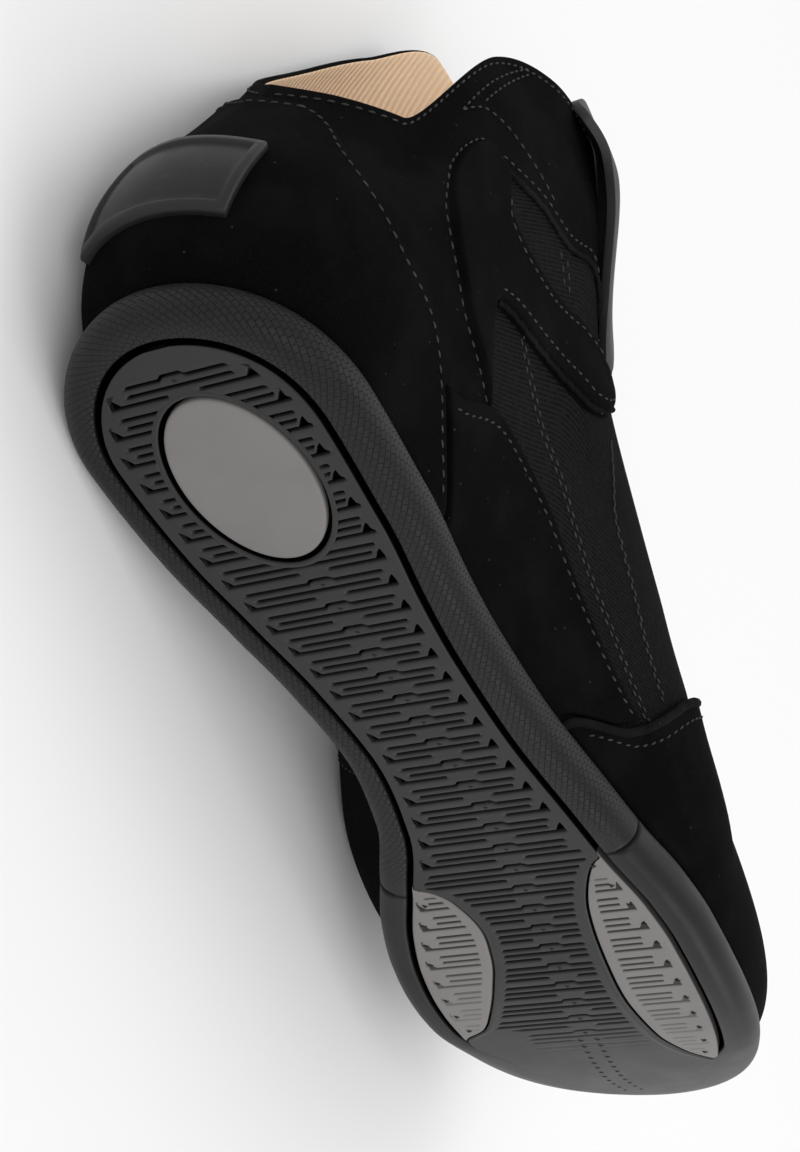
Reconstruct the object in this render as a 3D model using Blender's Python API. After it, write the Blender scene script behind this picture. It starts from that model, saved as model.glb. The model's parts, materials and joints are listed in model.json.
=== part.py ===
"""High-top sneaker with a flat cupsole, a right shoe, lying empty on its inner side."""
import math
from collections import namedtuple

import bmesh
import bpy
import mathutils
import numpy as np
from mathutils import Matrix, Vector

MM = 0.001

# Driving dimensions in millimetres. Shoe frame: x from heel to toe, y to the inner side, z up
HEEL_X = -1.0
LENGTH = 306.0
HEEL_ROUND_X = 36.0
TOE_ROUND_X = 224.0
TOE_FULLNESS = 0.53
SPRING_X = 212.0
SPRING_CURVE = 0.0030

GAP = 0.4
SEAM_GAP = 1.0
WALL = 2.2
OVERLAY = 1.1
RIM_WIDTH = 8.0
RIM_BELLY_Z = 5.2
RIM_TOP_Z = 9.8
LIP_WIDTH = 3.8
LIP_ROUND = 2.4
RIM_CHAMFER = 0.6
RIM_FOOT = 3.0
FOOT_STEPS = 5
LIP_STEPS = 3
RECESS_Z = 3.5
TRAY_Z = 5.8
GROOVE = 1.4
PAD_DEPTH = 2.0
PAD_GAP = 0.8
PAD_STEP = 0.15
PAD_TIP = 2.0
POCKET_BELOW = -6.0
POCKET_PAST = 3.0
OVAL_STEPS = 36
INSOLE_THICK = 3.0
TONGUE_THICK = 4.0
STRAP_THICK = 2.2
BADGE_THICK = 2.0

# Where the upper leaves the cup, and how far the tread plate stays inside the rim
UPPER_INSET = LIP_WIDTH + GAP
UPPER_Z = RIM_TOP_Z + 1.2
PLATE_OUT = -RIM_WIDTH - GROOVE

# Grids of the sheets, as columns and rows
AROUND = 36
RIB_ROWS = 11
PAD_COLUMNS = 20
COUNTER_GRID = (24, 9)
VAMP_GRID = (16, 18)
PANEL_GRID = (10, 5)
TONGUE_GRID = (12, 10)
STRAP_GRID = (20, 4)
BADGE_GRID = (10, 4)

# Steps used to find the direction of a curve, as shares of its whole
STEP_PLAN = 0.002
STEP_ALONG = 0.004
STEP_UP = 0.01
STEP_TIP = 0.04
STEP_TONGUE = 0.02

# Meshes are welded under this distance and shaded sharp over this angle
WELD = 0.02
SHARP = math.radians(40)

SIDE_LATERAL = -1
SIDE_MEDIAL = 1

# A point inside the foot, and the rough balance point of the empty shoe: the shoe lies on
# the face of its hull below that point whose normal has at least this share to the inner side
INSIDE = Vector((110.0, 6.0, 45.0)) * MM
BALANCE = Vector((118.0, 8.0, 42.0)) * MM
LYING_SIDE = 0.8

# Plan of the cup: middle line and half width of the rolled rim along the foot
Station = namedtuple("Station", "x middle half")
SOLE = (
    Station(HEEL_X, 0.0, 35.4),
    Station(36.0, 2.4, 35.4),
    Station(64.0, 3.2, 34.0),
    Station(87.0, 3.2, 30.6),
    Station(108.0, 2.6, 27.9),
    Station(129.0, 2.2, 26.9),
    Station(155.0, 4.0, 30.3),
    Station(174.0, 8.2, 35.9),
    Station(192.0, 12.0, 42.0),
    Station(208.0, 15.0, 45.0),
    Station(222.0, 17.3, 45.8),
    Station(251.0, 21.5, 45.8),
    Station(305.0, 29.0, 45.8),
)

# Ribs of the last from the cup up to the top line, by place from heel (0) to toe (1):
# top point with its distance from the middle line, and how the rib swells below and above
Rib = namedtuple(
    "Rib", "at top_x outer_gap inner_gap outer_z inner_z outer_belly inner_belly rise"
    " outer_shoulder inner_shoulder drop")
RIBS = (
    Rib(0.00, 5.0, 0.0, 0.0, 83.0, 83.0, 27.0, 27.0, 20.0, 4.0, 4.0, 30.0),
    Rib(0.11, 10.0, 14.0, 12.0, 80.0, 96.0, 22.0, 20.0, 21.0, 4.0, 4.0, 27.0),
    Rib(0.20, 24.0, 24.0, 17.0, 85.0, 121.0, 15.0, -2.0, 25.0, 4.0, 8.0, 26.0),
    Rib(0.28, 42.0, 26.0, 18.0, 125.0, 147.0, 10.0, -4.0, 30.0, 5.0, 16.0, 34.0),
    Rib(0.34, 63.0, 26.0, 18.0, 148.0, 163.0, 9.0, 2.0, 34.0, 6.0, 16.0, 38.0),
    Rib(0.40, 90.0, 21.0, 16.0, 161.0, 166.0, 9.0, 15.0, 34.0, 10.0, 13.0, 34.0),
    Rib(0.46, 110.0, 17.0, 14.0, 125.0, 127.0, 10.0, 32.0, 30.0, 18.0, 18.0, 24.0),
    Rib(0.52, 141.0, 14.0, 14.0, 95.0, 96.0, 10.0, 44.0, 25.0, 24.0, 24.0, 14.0),
    Rib(0.58, 171.0, 12.0, 12.0, 79.0, 79.0, 9.0, 43.0, 21.0, 26.0, 26.0, 8.0),
    Rib(0.63, 191.0, 6.0, 6.0, 71.0, 71.0, 8.0, 36.0, 19.0, 29.0, 29.0, 4.0),
    Rib(0.65, 197.0, 0.0, 0.0, 69.0, 69.0, 8.0, 33.0, 18.0, 30.0, 30.0, 1.0),
    Rib(0.72, 221.0, 0.0, 0.0, 62.5, 62.5, 8.0, 25.0, 17.0, 31.0, 31.0, 0.0),
    Rib(0.80, 242.0, 0.0, 0.0, 58.5, 58.5, 9.0, 19.0, 15.0, 29.0, 29.0, 0.0),
    Rib(0.90, 258.0, 0.0, 0.0, 57.0, 57.0, 9.0, 12.0, 13.0, 26.0, 26.0, 0.0),
    Rib(1.00, 264.0, 0.0, 0.0, 57.0, 57.0, 9.0, 9.0, 12.0, 24.0, 24.0, 0.0),
)
VAMP_SLOPE = -0.42

# Free edges of the overlays, as places along the foot by height up the rib
Edge = namedtuple("Edge", "up outer inner")
COUNTER_EDGE = (
    Edge(0.05, 0.330, 0.330),
    Edge(0.10, 0.310, 0.310),
    Edge(0.24, 0.270, 0.270),
    Edge(0.40, 0.198, 0.198),
    Edge(0.64, 0.145, 0.145),
    Edge(0.92, 0.100, 0.100),
)
VAMP_EDGE = (
    Edge(0.05, 0.480, 0.485),
    Edge(0.15, 0.515, 0.520),
    Edge(0.38, 0.555, 0.560),
    Edge(0.65, 0.605, 0.605),
    Edge(0.85, 0.640, 0.640),
    Edge(1.00, 0.668, 0.668),
)
Panel = namedtuple("Panel", "along low high")
SIDE_PANEL = (
    Panel(0.00, 0.05, 0.20),
    Panel(0.35, 0.05, 0.28),
    Panel(0.70, 0.05, 0.25),
    Panel(1.00, 0.05, 0.21),
)
ANKLE_PANEL = (
    Panel(0.00, 0.42, 0.60),
    Panel(0.15, 0.40, 0.71),
    Panel(0.40, 0.44, 0.70),
    Panel(0.75, 0.48, 0.68),
    Panel(1.00, 0.56, 0.76),
)
ANKLE_FROM = 0.25
ANKLE_TO = 0.45
PANEL_GAP = 0.012

# Pads under the sole: the heel oval, and the inner edges of the two forefoot lenses
OVAL_X = 45.5
OVAL_Y = 1.6
OVAL_LONG = 45.5
OVAL_WIDE = 31.5
OVAL_TURN = math.radians(4.0)
PadEdge = namedtuple("PadEdge", "x y")
PAD_MEDIAL = (
    PadEdge(176.0, 36.0),
    PadEdge(182.0, 28.0),
    PadEdge(194.0, 25.5),
    PadEdge(214.0, 33.5),
    PadEdge(231.0, 44.0),
    PadEdge(239.0, 53.0),
)
PAD_LATERAL = (
    PadEdge(172.0, -18.5),
    PadEdge(180.0, -12.3),
    PadEdge(192.0, -6.2),
    PadEdge(212.0, -1.0),
    PadEdge(236.0, 2.2),
    PadEdge(253.0, 2.8),
    PadEdge(260.0, -2.0),
)

# Strap, tongue and badge as ranges of the ribs
STRAP_FROM = 0.410
STRAP_TO = 0.468
STRAP_REACH = 0.66
STRAP_OFFSET = 3.4
BAND_ON_SIDE = 0.3
TONGUE_FROM = 0.425
TONGUE_TO = 0.61
TONGUE_REACH = 0.86
TONGUE_RISE = 12.0
TONGUE_SLACK = 2.4
TONGUE_RISE_ROWS = 2
BADGE_SPAN = 0.078
BADGE_LOW = 0.20
BADGE_HIGH = 0.50

COLOURS = {
    "suede": ((0.006, 0.006, 0.006), 0.95),
    "rim_rubber": ((0.040, 0.039, 0.038), 0.6),
    "tread_rubber": ((0.030, 0.030, 0.030), 0.5),
    "pad_rubber": ((0.24, 0.23, 0.22), 0.45),
    "lining": ((0.73, 0.50, 0.32), 0.9),
    "strap": ((0.06, 0.06, 0.063), 0.55),
    "badge": ((0.035, 0.034, 0.034), 0.4),
}


def smooth_curve(places, values):
    """Monotone cubic through the points, flat at both ends, as a function of place."""
    xs = np.array(places, float)
    ys = np.array(values, float)
    steps = np.diff(xs)
    rises = np.diff(ys) / steps
    slopes = np.zeros(len(xs))
    for i in range(1, len(xs) - 1):
        if rises[i - 1] * rises[i] > 0:
            before = 2 * steps[i] + steps[i - 1]
            after = steps[i] + 2 * steps[i - 1]
            slopes[i] = (before + after) / (before / rises[i - 1] + after / rises[i])

    def read(place):
        place = min(max(place, xs[0]), xs[-1])
        i = min(int(np.searchsorted(xs, place, side="right")) - 1, len(steps) - 1)
        u = (place - xs[i]) / steps[i]
        blend = u * u * (3 - 2 * u)
        start = u * (1 - u) ** 2 * slopes[i] * steps[i]
        end = u * u * (u - 1) * slopes[i + 1] * steps[i]
        return ys[i] + (ys[i + 1] - ys[i]) * blend + start + end

    return read


def column(table, name, place):
    """One named column of a table as a smooth function of its place column."""
    return smooth_curve([getattr(row, place) for row in table], [getattr(row, name) for row in table])


middle = column(SOLE, "middle", "x")
body_half = column(SOLE, "half", "x")
rib_column = {name: column(RIBS, name, "at") for name in Rib._fields[1:]}
counter_outer = column(COUNTER_EDGE, "outer", "up")
counter_inner = column(COUNTER_EDGE, "inner", "up")
vamp_outer = column(VAMP_EDGE, "outer", "up")
vamp_inner = column(VAMP_EDGE, "inner", "up")


def half_width(x):
    """Half width of the rim, with the heel and the toe closed by round ends."""
    if x < HEEL_ROUND_X:
        reach = (HEEL_ROUND_X - x) / (HEEL_ROUND_X - HEEL_X)
        return body_half(x) * max(1 - reach * reach, 0) ** 0.5
    if x > TOE_ROUND_X:
        reach = (x - TOE_ROUND_X) / (HEEL_X + LENGTH - TOE_ROUND_X)
        return body_half(x) * max(1 - reach * reach, 0) ** TOE_FULLNESS
    return body_half(x)


def spring(x):
    """Lift of the sole towards the toe."""
    return SPRING_CURVE * max(x - SPRING_X, 0) ** 2


def fold_side(at, side):
    """A place before the heel or past the toe is one on the other side."""
    if at < 0:
        return -at, -side
    if at > 1:
        return 2 - at, -side
    return at, side


def plan(at, side):
    """Point of the rim's outline, at from 0 at the heel to 1 at the toe."""
    at, side = fold_side(at, side)
    x = HEEL_X + LENGTH * (1 - math.cos(math.pi * at)) / 2
    return np.array([x, middle(x) + side * half_width(x)])


def outward(at, side):
    """Unit vector out of the outline."""
    step = plan(at + STEP_PLAN, side) - plan(at - STEP_PLAN, side)
    normal = side * np.array([-step[1], step[0]])
    return normal / np.linalg.norm(normal)


def sole_point(at, side, out, z):
    """Point at a distance out from the outline and a height above the sole's lift."""
    xy = plan(at, side) + out * outward(at, side)
    return np.array([xy[0], xy[1], z + spring(xy[0])])


def rib_points(at, side):
    """The four control points of one rib."""
    at, side = fold_side(at, side)
    row = {name: read(at) for name, read in rib_column.items()}
    out = outward(at, side)
    base = sole_point(at, side, -UPPER_INSET, UPPER_Z)
    half = "inner" if side == SIDE_MEDIAL else "outer"
    beside = middle(row["top_x"]) + side * row[half + "_gap"]
    top = np.array([row["top_x"], beside, row[half + "_z"]])
    swell = np.array([out[0], out[1], 0.0])
    lean = np.array([out[0], out[1], max(out[0], 0) * VAMP_SLOPE])
    low = base + row[half + "_belly"] * swell + np.array([0, 0, row["rise"]])
    high = top + row[half + "_shoulder"] * lean - np.array([0, 0, row["drop"]])
    return base, low, high, top


def rib_at(at, side, up):
    """Point on the upper's outer face; below 0 it goes straight down into the cup."""
    base, low, high, top = rib_points(at, side)
    if up < 0:
        return base + np.array([0, 0, up])
    rest = 1 - up
    return base * rest ** 3 + 3 * low * up * rest ** 2 + 3 * high * up ** 2 * rest + top * up ** 3


def upper_at(at, side, up, offset=0.0):
    """Point of the upper moved out along its own normal."""
    point = rib_at(at, side, up)
    if not offset:
        return point
    near = min(max(up, STEP_UP), 1 - 3 * STEP_UP)
    along = rib_at(at + STEP_ALONG, side, near) - rib_at(at - STEP_ALONG, side, near)
    climb = rib_at(at, side, near + STEP_UP) - rib_at(at, side, near - STEP_UP)
    normal = side * np.cross(climb, along)
    return point + offset * normal / np.linalg.norm(normal)


def over_instep(at, across, offset, reach):
    """Point on a band that runs up one side, over the throat and down the other side."""
    side = SIDE_LATERAL if across < 0.5 else SIDE_MEDIAL
    from_edge = min(across, 1 - across)
    if from_edge <= BAND_ON_SIDE:
        return upper_at(at, side, reach + (1 - reach) * from_edge / BAND_ON_SIDE, offset)
    ends = []
    for edge in (SIDE_LATERAL, SIDE_MEDIAL):
        tip = upper_at(at, edge, 1.0, offset)
        ends.append((tip, tip - upper_at(at, edge, 1 - STEP_TIP, offset)))
    (start, leave), (stop, arrive) = ends
    span = np.linalg.norm(stop - start)
    leave = leave / np.linalg.norm(leave) * span
    arrive = -arrive / np.linalg.norm(arrive) * span
    u = (across - BAND_ON_SIDE) / (1 - 2 * BAND_ON_SIDE)
    blend = u * u * (3 - 2 * u)
    bend = u * (1 - u) ** 2 * leave + u * u * (u - 1) * arrive
    return start + (stop - start) * blend + bend


def add_sheet(mesh, columns, rows, place):
    """Add a grid of faces whose corners lie at place(a, b), a and b from 0 to 1."""
    grid = bmesh.ops.create_grid(mesh, x_segments=columns, y_segments=rows, size=0.5)
    for vert in grid["verts"]:
        a = min(max(round(vert.co.x + 0.5, 5), 0.0), 1.0)
        b = min(max(round(vert.co.y + 0.5, 5), 0.0), 1.0)
        vert.co = Vector(place(a, b)) * MM


def weld(mesh):
    """Join the corners that meet and drop faces that have no area."""
    bmesh.ops.remove_doubles(mesh, verts=mesh.verts, dist=WELD * MM)
    bmesh.ops.dissolve_degenerate(mesh, edges=mesh.edges, dist=WELD / 2 * MM)


def material(name):
    """The named colour as a Principled material."""
    found = bpy.data.materials.get(name)
    if found:
        return found
    made = bpy.data.materials.new(name)
    made.use_nodes = True
    colour, rough = COLOURS[name]
    shader = made.node_tree.nodes["Principled BSDF"]
    shader.inputs["Base Color"].default_value = (*colour, 1.0)
    shader.inputs["Roughness"].default_value = rough
    shader.inputs["Metallic"].default_value = 0.0
    return made


def finish(name, mesh, colour, frame):
    """Make the named object and hang it on the shoe's frame."""
    data = bpy.data.meshes.new(name)
    mesh.to_mesh(data)
    mesh.free()
    data.shade_smooth()
    data.set_sharp_from_angle(angle=SHARP)
    data.materials.append(material(colour))
    thing = bpy.data.objects.new(name, data)
    bpy.context.scene.collection.objects.link(thing)
    thing.parent = frame
    return thing


def close_body(mesh):
    """Weld the sheets of a body and turn its faces outward."""
    weld(mesh)
    bmesh.ops.recalc_face_normals(mesh, faces=mesh.faces)


def face_away(mesh, centre):
    """Turn an open sheet so that it faces away from a point inside the shoe."""
    close_body(mesh)
    facing = 0.0
    for face in mesh.faces:
        facing += face.normal.dot(face.calc_center_median() - centre) * face.calc_area()
    if facing < 0:
        bmesh.ops.reverse_faces(mesh, faces=mesh.faces)


def thicken(thing, thickness, inward=True):
    """Give a sheet its wall."""
    wall = thing.modifiers.new("wall", "SOLIDIFY")
    wall.thickness = thickness * MM
    wall.offset = -1.0 if inward else 1.0
    return thing


def shell(name, grid, place, thickness, colour, frame, inward=True):
    """A wall of even thickness on a sheet that follows the upper."""
    mesh = bmesh.new()
    add_sheet(mesh, *grid, place)
    face_away(mesh, INSIDE)
    return thicken(finish(name, mesh, colour, frame), thickness, inward)


def both_sides(around):
    """Place and side for a walk from the heel along the outer side to the toe and back."""
    if around <= 0.5:
        return 2 * around, SIDE_LATERAL
    return 2 - 2 * around, SIDE_MEDIAL


def cup_section():
    """Rim in section from the recess round to the tray, as distance out and height."""
    roll = [(-RIM_WIDTH, RECESS_Z), (-RIM_WIDTH, RIM_CHAMFER), (-RIM_WIDTH + RIM_CHAMFER, 0.0)]
    foot = RIM_WIDTH - RIM_FOOT
    for step in range(FOOT_STEPS + 1):
        turn = math.pi / 2 * (step / FOOT_STEPS - 1)
        roll.append((foot * math.cos(turn) - foot, RIM_BELLY_Z + RIM_BELLY_Z * math.sin(turn)))
    height = RIM_TOP_Z - RIM_BELLY_Z
    for step in range(1, LIP_STEPS + 1):
        turn = math.pi / 2 * step / LIP_STEPS
        roll.append((LIP_ROUND * math.cos(turn) - LIP_ROUND, RIM_BELLY_Z + height * math.sin(turn)))
    roll += [(-LIP_WIDTH, RIM_TOP_Z - RIM_CHAMFER), (-LIP_WIDTH, TRAY_Z)]
    return roll


def ladder(mesh, out, z, columns=AROUND):
    """Rungs across the shoe between the two sides of an outline."""

    def place(a, b):
        return sole_point(a, SIDE_LATERAL if b < 0.5 else SIDE_MEDIAL, out, z)

    add_sheet(mesh, columns, 1, place)


def band(mesh, section, columns=2 * AROUND):
    """A section carried once round the outline."""

    def place(a, b):
        out, z = section[round(b * (len(section) - 1))]
        return sole_point(*both_sides(a), out, z)

    add_sheet(mesh, columns, len(section) - 1, place)


def slab(name, out, low, high, colour, frame):
    """A plate of even thickness inside the outline, bent with the toe spring."""
    mesh = bmesh.new()
    band(mesh, [(out, low), (out, high)])
    ladder(mesh, out, low)
    ladder(mesh, out, high)
    close_body(mesh)
    return finish(name, mesh, colour, frame)


def make_cup(frame):
    """Rolled rim with the web between recess and tray."""
    mesh = bmesh.new()
    section = cup_section()
    band(mesh, section)
    ladder(mesh, *section[0])
    ladder(mesh, *section[-1])
    close_body(mesh)
    return finish("sole_cup", mesh, "rim_rubber", frame)


def oval_outline(turn, grow):
    """Point on the heel oval, as x and y."""
    along = (OVAL_LONG / 2 + grow) * math.cos(turn)
    aside = (OVAL_WIDE / 2 + grow) * math.sin(turn)
    x = OVAL_X + along * math.cos(OVAL_TURN) - aside * math.sin(OVAL_TURN)
    y = OVAL_Y + along * math.sin(OVAL_TURN) + aside * math.cos(OVAL_TURN)
    return x, y


def plate_edge(x, side, out):
    """Distance of the plate's edge from the shoe's axis at x."""
    at = math.acos(1 - 2 * (x - HEEL_X) / LENGTH) / math.pi
    normal = outward(at, side)
    return middle(x) + side * (half_width(x) + out / max(abs(normal[1]), 0.3))


def pad_strip(table, side, grow, reach):
    """Inner and outer edge of a forefoot pad, grown all round, by place along it."""
    inner = smooth_curve([row.x for row in table], [row.y for row in table])
    first = table[0].x
    last = table[-1].x

    def edges(along):
        x = first - grow + (last - first + 2 * grow) * (1 - math.cos(math.pi * along)) / 2
        outside = plate_edge(x, side, reach)
        tip = plate_edge(x, side, PLATE_OUT) - side * PAD_TIP
        inside = side * min(side * inner(x), side * tip) - side * grow
        return x, inside, outside

    return edges


def pad_body(mesh, edges, low, high):
    """Closed pad between its two edges, bent with the toe spring."""
    corners = ((1, low), (2, low), (2, high), (1, high), (1, low))

    def wrap(a, b):
        edge, z = corners[round(b * 4)]
        strip = edges(a)
        return strip[0], strip[edge], z + spring(strip[0])

    def cap(end):
        def place(a, b):
            strip = edges(end)
            return strip[0], strip[1 + round(a)], (low, high)[round(b)] + spring(strip[0])
        return place

    add_sheet(mesh, PAD_COLUMNS, 4, wrap)
    add_sheet(mesh, 1, 1, cap(0.0))
    add_sheet(mesh, 1, 1, cap(1.0))
    close_body(mesh)


def oval_body(mesh, grow, low, high):
    """Closed oval prism."""
    ring = bmesh.ops.create_circle(mesh, cap_ends=True, segments=OVAL_STEPS, radius=1.0)["verts"]
    for vert in ring:
        x, y = oval_outline(math.atan2(vert.co.y, vert.co.x), grow)
        vert.co = Vector((x, y, low)) * MM
    raised = bmesh.ops.extrude_face_region(mesh, geom=mesh.faces[:])
    lifted = [part for part in raised["geom"] if isinstance(part, bmesh.types.BMVert)]
    bmesh.ops.translate(mesh, verts=lifted, vec=Vector((0, 0, (high - low) * MM)))
    close_body(mesh)


def make_tread(frame):
    """Tread plate with a pocket for each pad, and the pads in them."""
    plate = slab("tread_plate", PLATE_OUT, 0.0, RECESS_Z - GAP, "tread_rubber", frame)
    pads = {
        "heel_pad": lambda mesh, grow, low, high, reach: oval_body(mesh, grow, low, high),
        "forefoot_pad_medial": lambda mesh, grow, low, high, reach: pad_body(
            mesh, pad_strip(PAD_MEDIAL, SIDE_MEDIAL, grow, reach), low, high),
        "forefoot_pad_lateral": lambda mesh, grow, low, high, reach: pad_body(
            mesh, pad_strip(PAD_LATERAL, SIDE_LATERAL, grow, reach), low, high),
    }
    for name, shape in pads.items():
        pocket = bmesh.new()
        shape(pocket, PAD_GAP, POCKET_BELOW, PAD_DEPTH, PLATE_OUT + POCKET_PAST)
        cutter = finish(name + "_pocket", pocket, "tread_rubber", frame)
        cutter.hide_render = True
        cutter.display_type = "WIRE"
        cut = plate.modifiers.new(name, "BOOLEAN")
        cut.operation = "DIFFERENCE"
        cut.solver = "EXACT"
        cut.object = cutter
        pad = bmesh.new()
        shape(pad, 0.0, PAD_STEP, PAD_DEPTH - GAP, PLATE_OUT)
        finish(name, pad, "pad_rubber", frame)


def make_upper(frame):
    """The hollow wall of the shoe, open at the collar, the throat and underneath."""
    rows = RIB_ROWS + 1

    def place(a, b):
        row = round(b * rows)
        up = TRAY_Z + GAP - UPPER_Z if row == 0 else (row - 1) / RIB_ROWS
        return upper_at(*both_sides(a), up)

    return shell("upper", (2 * AROUND, rows), place, WALL, "suede", frame)


def make_counter(frame):
    """Overlay round the heel, with its free edge running down to the sole on each side."""
    low = COUNTER_EDGE[0].up
    high = COUNTER_EDGE[-1].up

    def place(a, b):
        up = low + (high - low) * b
        first = -counter_inner(up)
        at = first + (counter_outer(up) - first) * a
        return upper_at(at, SIDE_LATERAL, up, SEAM_GAP + OVERLAY)

    shell("heel_counter", COUNTER_GRID, place, OVERLAY, "suede", frame)


def make_vamp(frame):
    """Toe piece from one side over the ridge to the other, closed at the toe."""
    low = VAMP_EDGE[0].up

    def place(a, b):
        side = SIDE_LATERAL if b <= 0.5 else SIDE_MEDIAL
        rear = vamp_outer if side == SIDE_LATERAL else vamp_inner
        up = 1 - (1 - low) * abs(1 - 2 * b)
        first = rear(up)
        return upper_at(first + (1 - first) * a, side, up, SEAM_GAP + OVERLAY)

    shell("toe_vamp", VAMP_GRID, place, OVERLAY, "suede", frame)


def make_panel(name, side, table, ends, frame):
    """An overlay on one side, between its low and high edge and its two ends."""
    low_edge = column(table, "low", "along")
    high_edge = column(table, "high", "along")

    def place(a, b):
        up = low_edge(a) + (high_edge(a) - low_edge(a)) * b
        first, last = ends(up)
        return upper_at(first + (last - first) * a, side, up, SEAM_GAP + OVERLAY)

    shell(name, PANEL_GRID, place, OVERLAY, "suede", frame)


def make_side_panels(frame):
    """Low panel between counter and vamp, and arched panel at the ankle, on each side."""
    edges = {
        "lateral": (SIDE_LATERAL, counter_outer, vamp_outer),
        "medial": (SIDE_MEDIAL, counter_inner, vamp_inner),
    }
    for name, (side, counter, vamp) in edges.items():

        def between(up):
            return counter(up) + PANEL_GAP, vamp(up) - PANEL_GAP

        make_panel("side_panel_" + name, side, SIDE_PANEL, between, frame)
        make_panel("ankle_panel_" + name, side, ANKLE_PANEL, lambda up: (ANKLE_FROM, ANKLE_TO), frame)


def make_tongue(frame):
    """Padded sheet under the throat, standing a little out of it at the top."""
    offset = -WALL - TONGUE_SLACK
    rows = TONGUE_GRID[1]
    above = TONGUE_RISE_ROWS

    def place(a, b):
        row = round(b * rows)
        at = TONGUE_FROM + (TONGUE_TO - TONGUE_FROM) * max(row - above, 0) / (rows - above)
        point = over_instep(at, a, offset, TONGUE_REACH)
        if row < above:
            lift = point - over_instep(at + STEP_TONGUE, a, offset, TONGUE_REACH)
            point = point + lift / np.linalg.norm(lift) * TONGUE_RISE * (above - row) / above
        return point

    shell("tongue", TONGUE_GRID, place, TONGUE_THICK, "lining", frame)


def make_strap(frame):
    """Wide band over the top of the throat."""

    def place(a, b):
        return over_instep(STRAP_FROM + (STRAP_TO - STRAP_FROM) * b, a, STRAP_OFFSET, STRAP_REACH)

    shell("ankle_strap", STRAP_GRID, place, STRAP_THICK, "strap", frame, inward=False)


def make_badge(frame):
    """Bare plate on the back of the counter."""
    offset = SEAM_GAP + OVERLAY + SEAM_GAP + BADGE_THICK

    def place(a, b):
        up = BADGE_LOW + (BADGE_HIGH - BADGE_LOW) * b
        return upper_at(BADGE_SPAN * (2 * a - 1), SIDE_LATERAL, up, offset)

    shell("heel_badge", BADGE_GRID, place, BADGE_THICK, "badge", frame)


def lie_down(frame):
    """Turn the shoe onto the face of its hull that carries it on the inner side."""
    view = bpy.context.evaluated_depsgraph_get()
    cloud = bmesh.new()
    for thing in frame.children:
        if not thing.hide_render:
            shape = thing.evaluated_get(view).to_mesh()
            for vert in shape.vertices:
                cloud.verts.new(vert.co)
    hull = bmesh.ops.convex_hull(cloud, input=cloud.verts)
    faces = [part for part in hull["geom"] if isinstance(part, bmesh.types.BMFace)]
    down = None
    for face in faces:
        face.normal_update()
        if face.normal.y > LYING_SIDE:
            drop = (face.verts[0].co - BALANCE).dot(face.normal)
            foot = BALANCE + face.normal * drop
            inside = mathutils.geometry.intersect_point_tri(foot, *[vert.co for vert in face.verts])
            if inside and (down is None or face.normal.y > down.y):
                down = face.normal.copy()
    if down is None:
        raise RuntimeError("the shoe has no face to lie on")
    up = -down
    ahead = (Vector((1, 0, 0)) - up * up.x).normalized()
    turn = Matrix((ahead, up.cross(ahead), up)).to_4x4()
    points = [turn @ vert.co for vert in cloud.verts]
    cloud.free()
    low = Vector([min(p[i] for p in points) for i in range(3)])
    high = Vector([max(p[i] for p in points) for i in range(3)])
    foot = Vector(((low.x + high.x) / 2, (low.y + high.y) / 2, low.z))
    frame.matrix_world = Matrix.Translation(-foot) @ turn


def build():
    """Make every piece in the shoe's frame, then lay the shoe on its side."""
    for old in list(bpy.data.objects):
        bpy.data.objects.remove(old)
    frame = bpy.data.objects.new("shoe_frame", None)
    bpy.context.scene.collection.objects.link(frame)
    make_cup(frame)
    make_tread(frame)
    tray = TRAY_Z + GAP
    slab("insole", -UPPER_INSET - WALL - GAP, tray, tray + INSOLE_THICK, "lining", frame)
    make_upper(frame)
    make_counter(frame)
    make_vamp(frame)
    make_side_panels(frame)
    make_tongue(frame)
    make_strap(frame)
    make_badge(frame)
    lie_down(frame)


build()
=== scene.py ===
import json
import math
from collections import namedtuple

import bmesh
import bpy
import numpy as np
from mathutils import Matrix, Vector


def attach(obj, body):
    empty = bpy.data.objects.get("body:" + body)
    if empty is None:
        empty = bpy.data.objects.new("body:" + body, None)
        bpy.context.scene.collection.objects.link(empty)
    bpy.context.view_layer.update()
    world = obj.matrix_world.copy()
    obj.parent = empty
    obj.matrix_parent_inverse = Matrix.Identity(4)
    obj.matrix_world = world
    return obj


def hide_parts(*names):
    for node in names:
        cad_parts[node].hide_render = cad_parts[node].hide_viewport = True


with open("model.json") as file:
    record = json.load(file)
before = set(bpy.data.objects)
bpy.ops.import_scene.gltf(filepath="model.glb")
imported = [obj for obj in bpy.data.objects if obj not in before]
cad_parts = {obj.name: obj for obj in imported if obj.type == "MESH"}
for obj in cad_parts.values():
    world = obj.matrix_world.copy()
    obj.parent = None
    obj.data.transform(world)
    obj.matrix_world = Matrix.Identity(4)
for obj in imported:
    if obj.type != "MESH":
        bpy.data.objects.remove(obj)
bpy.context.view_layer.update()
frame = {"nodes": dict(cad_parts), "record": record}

bl_info = {
    "name": "High-top sneaker dressing",
    "version": (1, 0, 0),
    "blender": (4, 5, 0),
    "location": "3D View > Sidebar > Sneaker",
    "description": "Dresses the packed solids of a high-top sneaker and sets its stage",
    "category": "Object",
}

BODY = "root"
MM = 0.001

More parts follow.
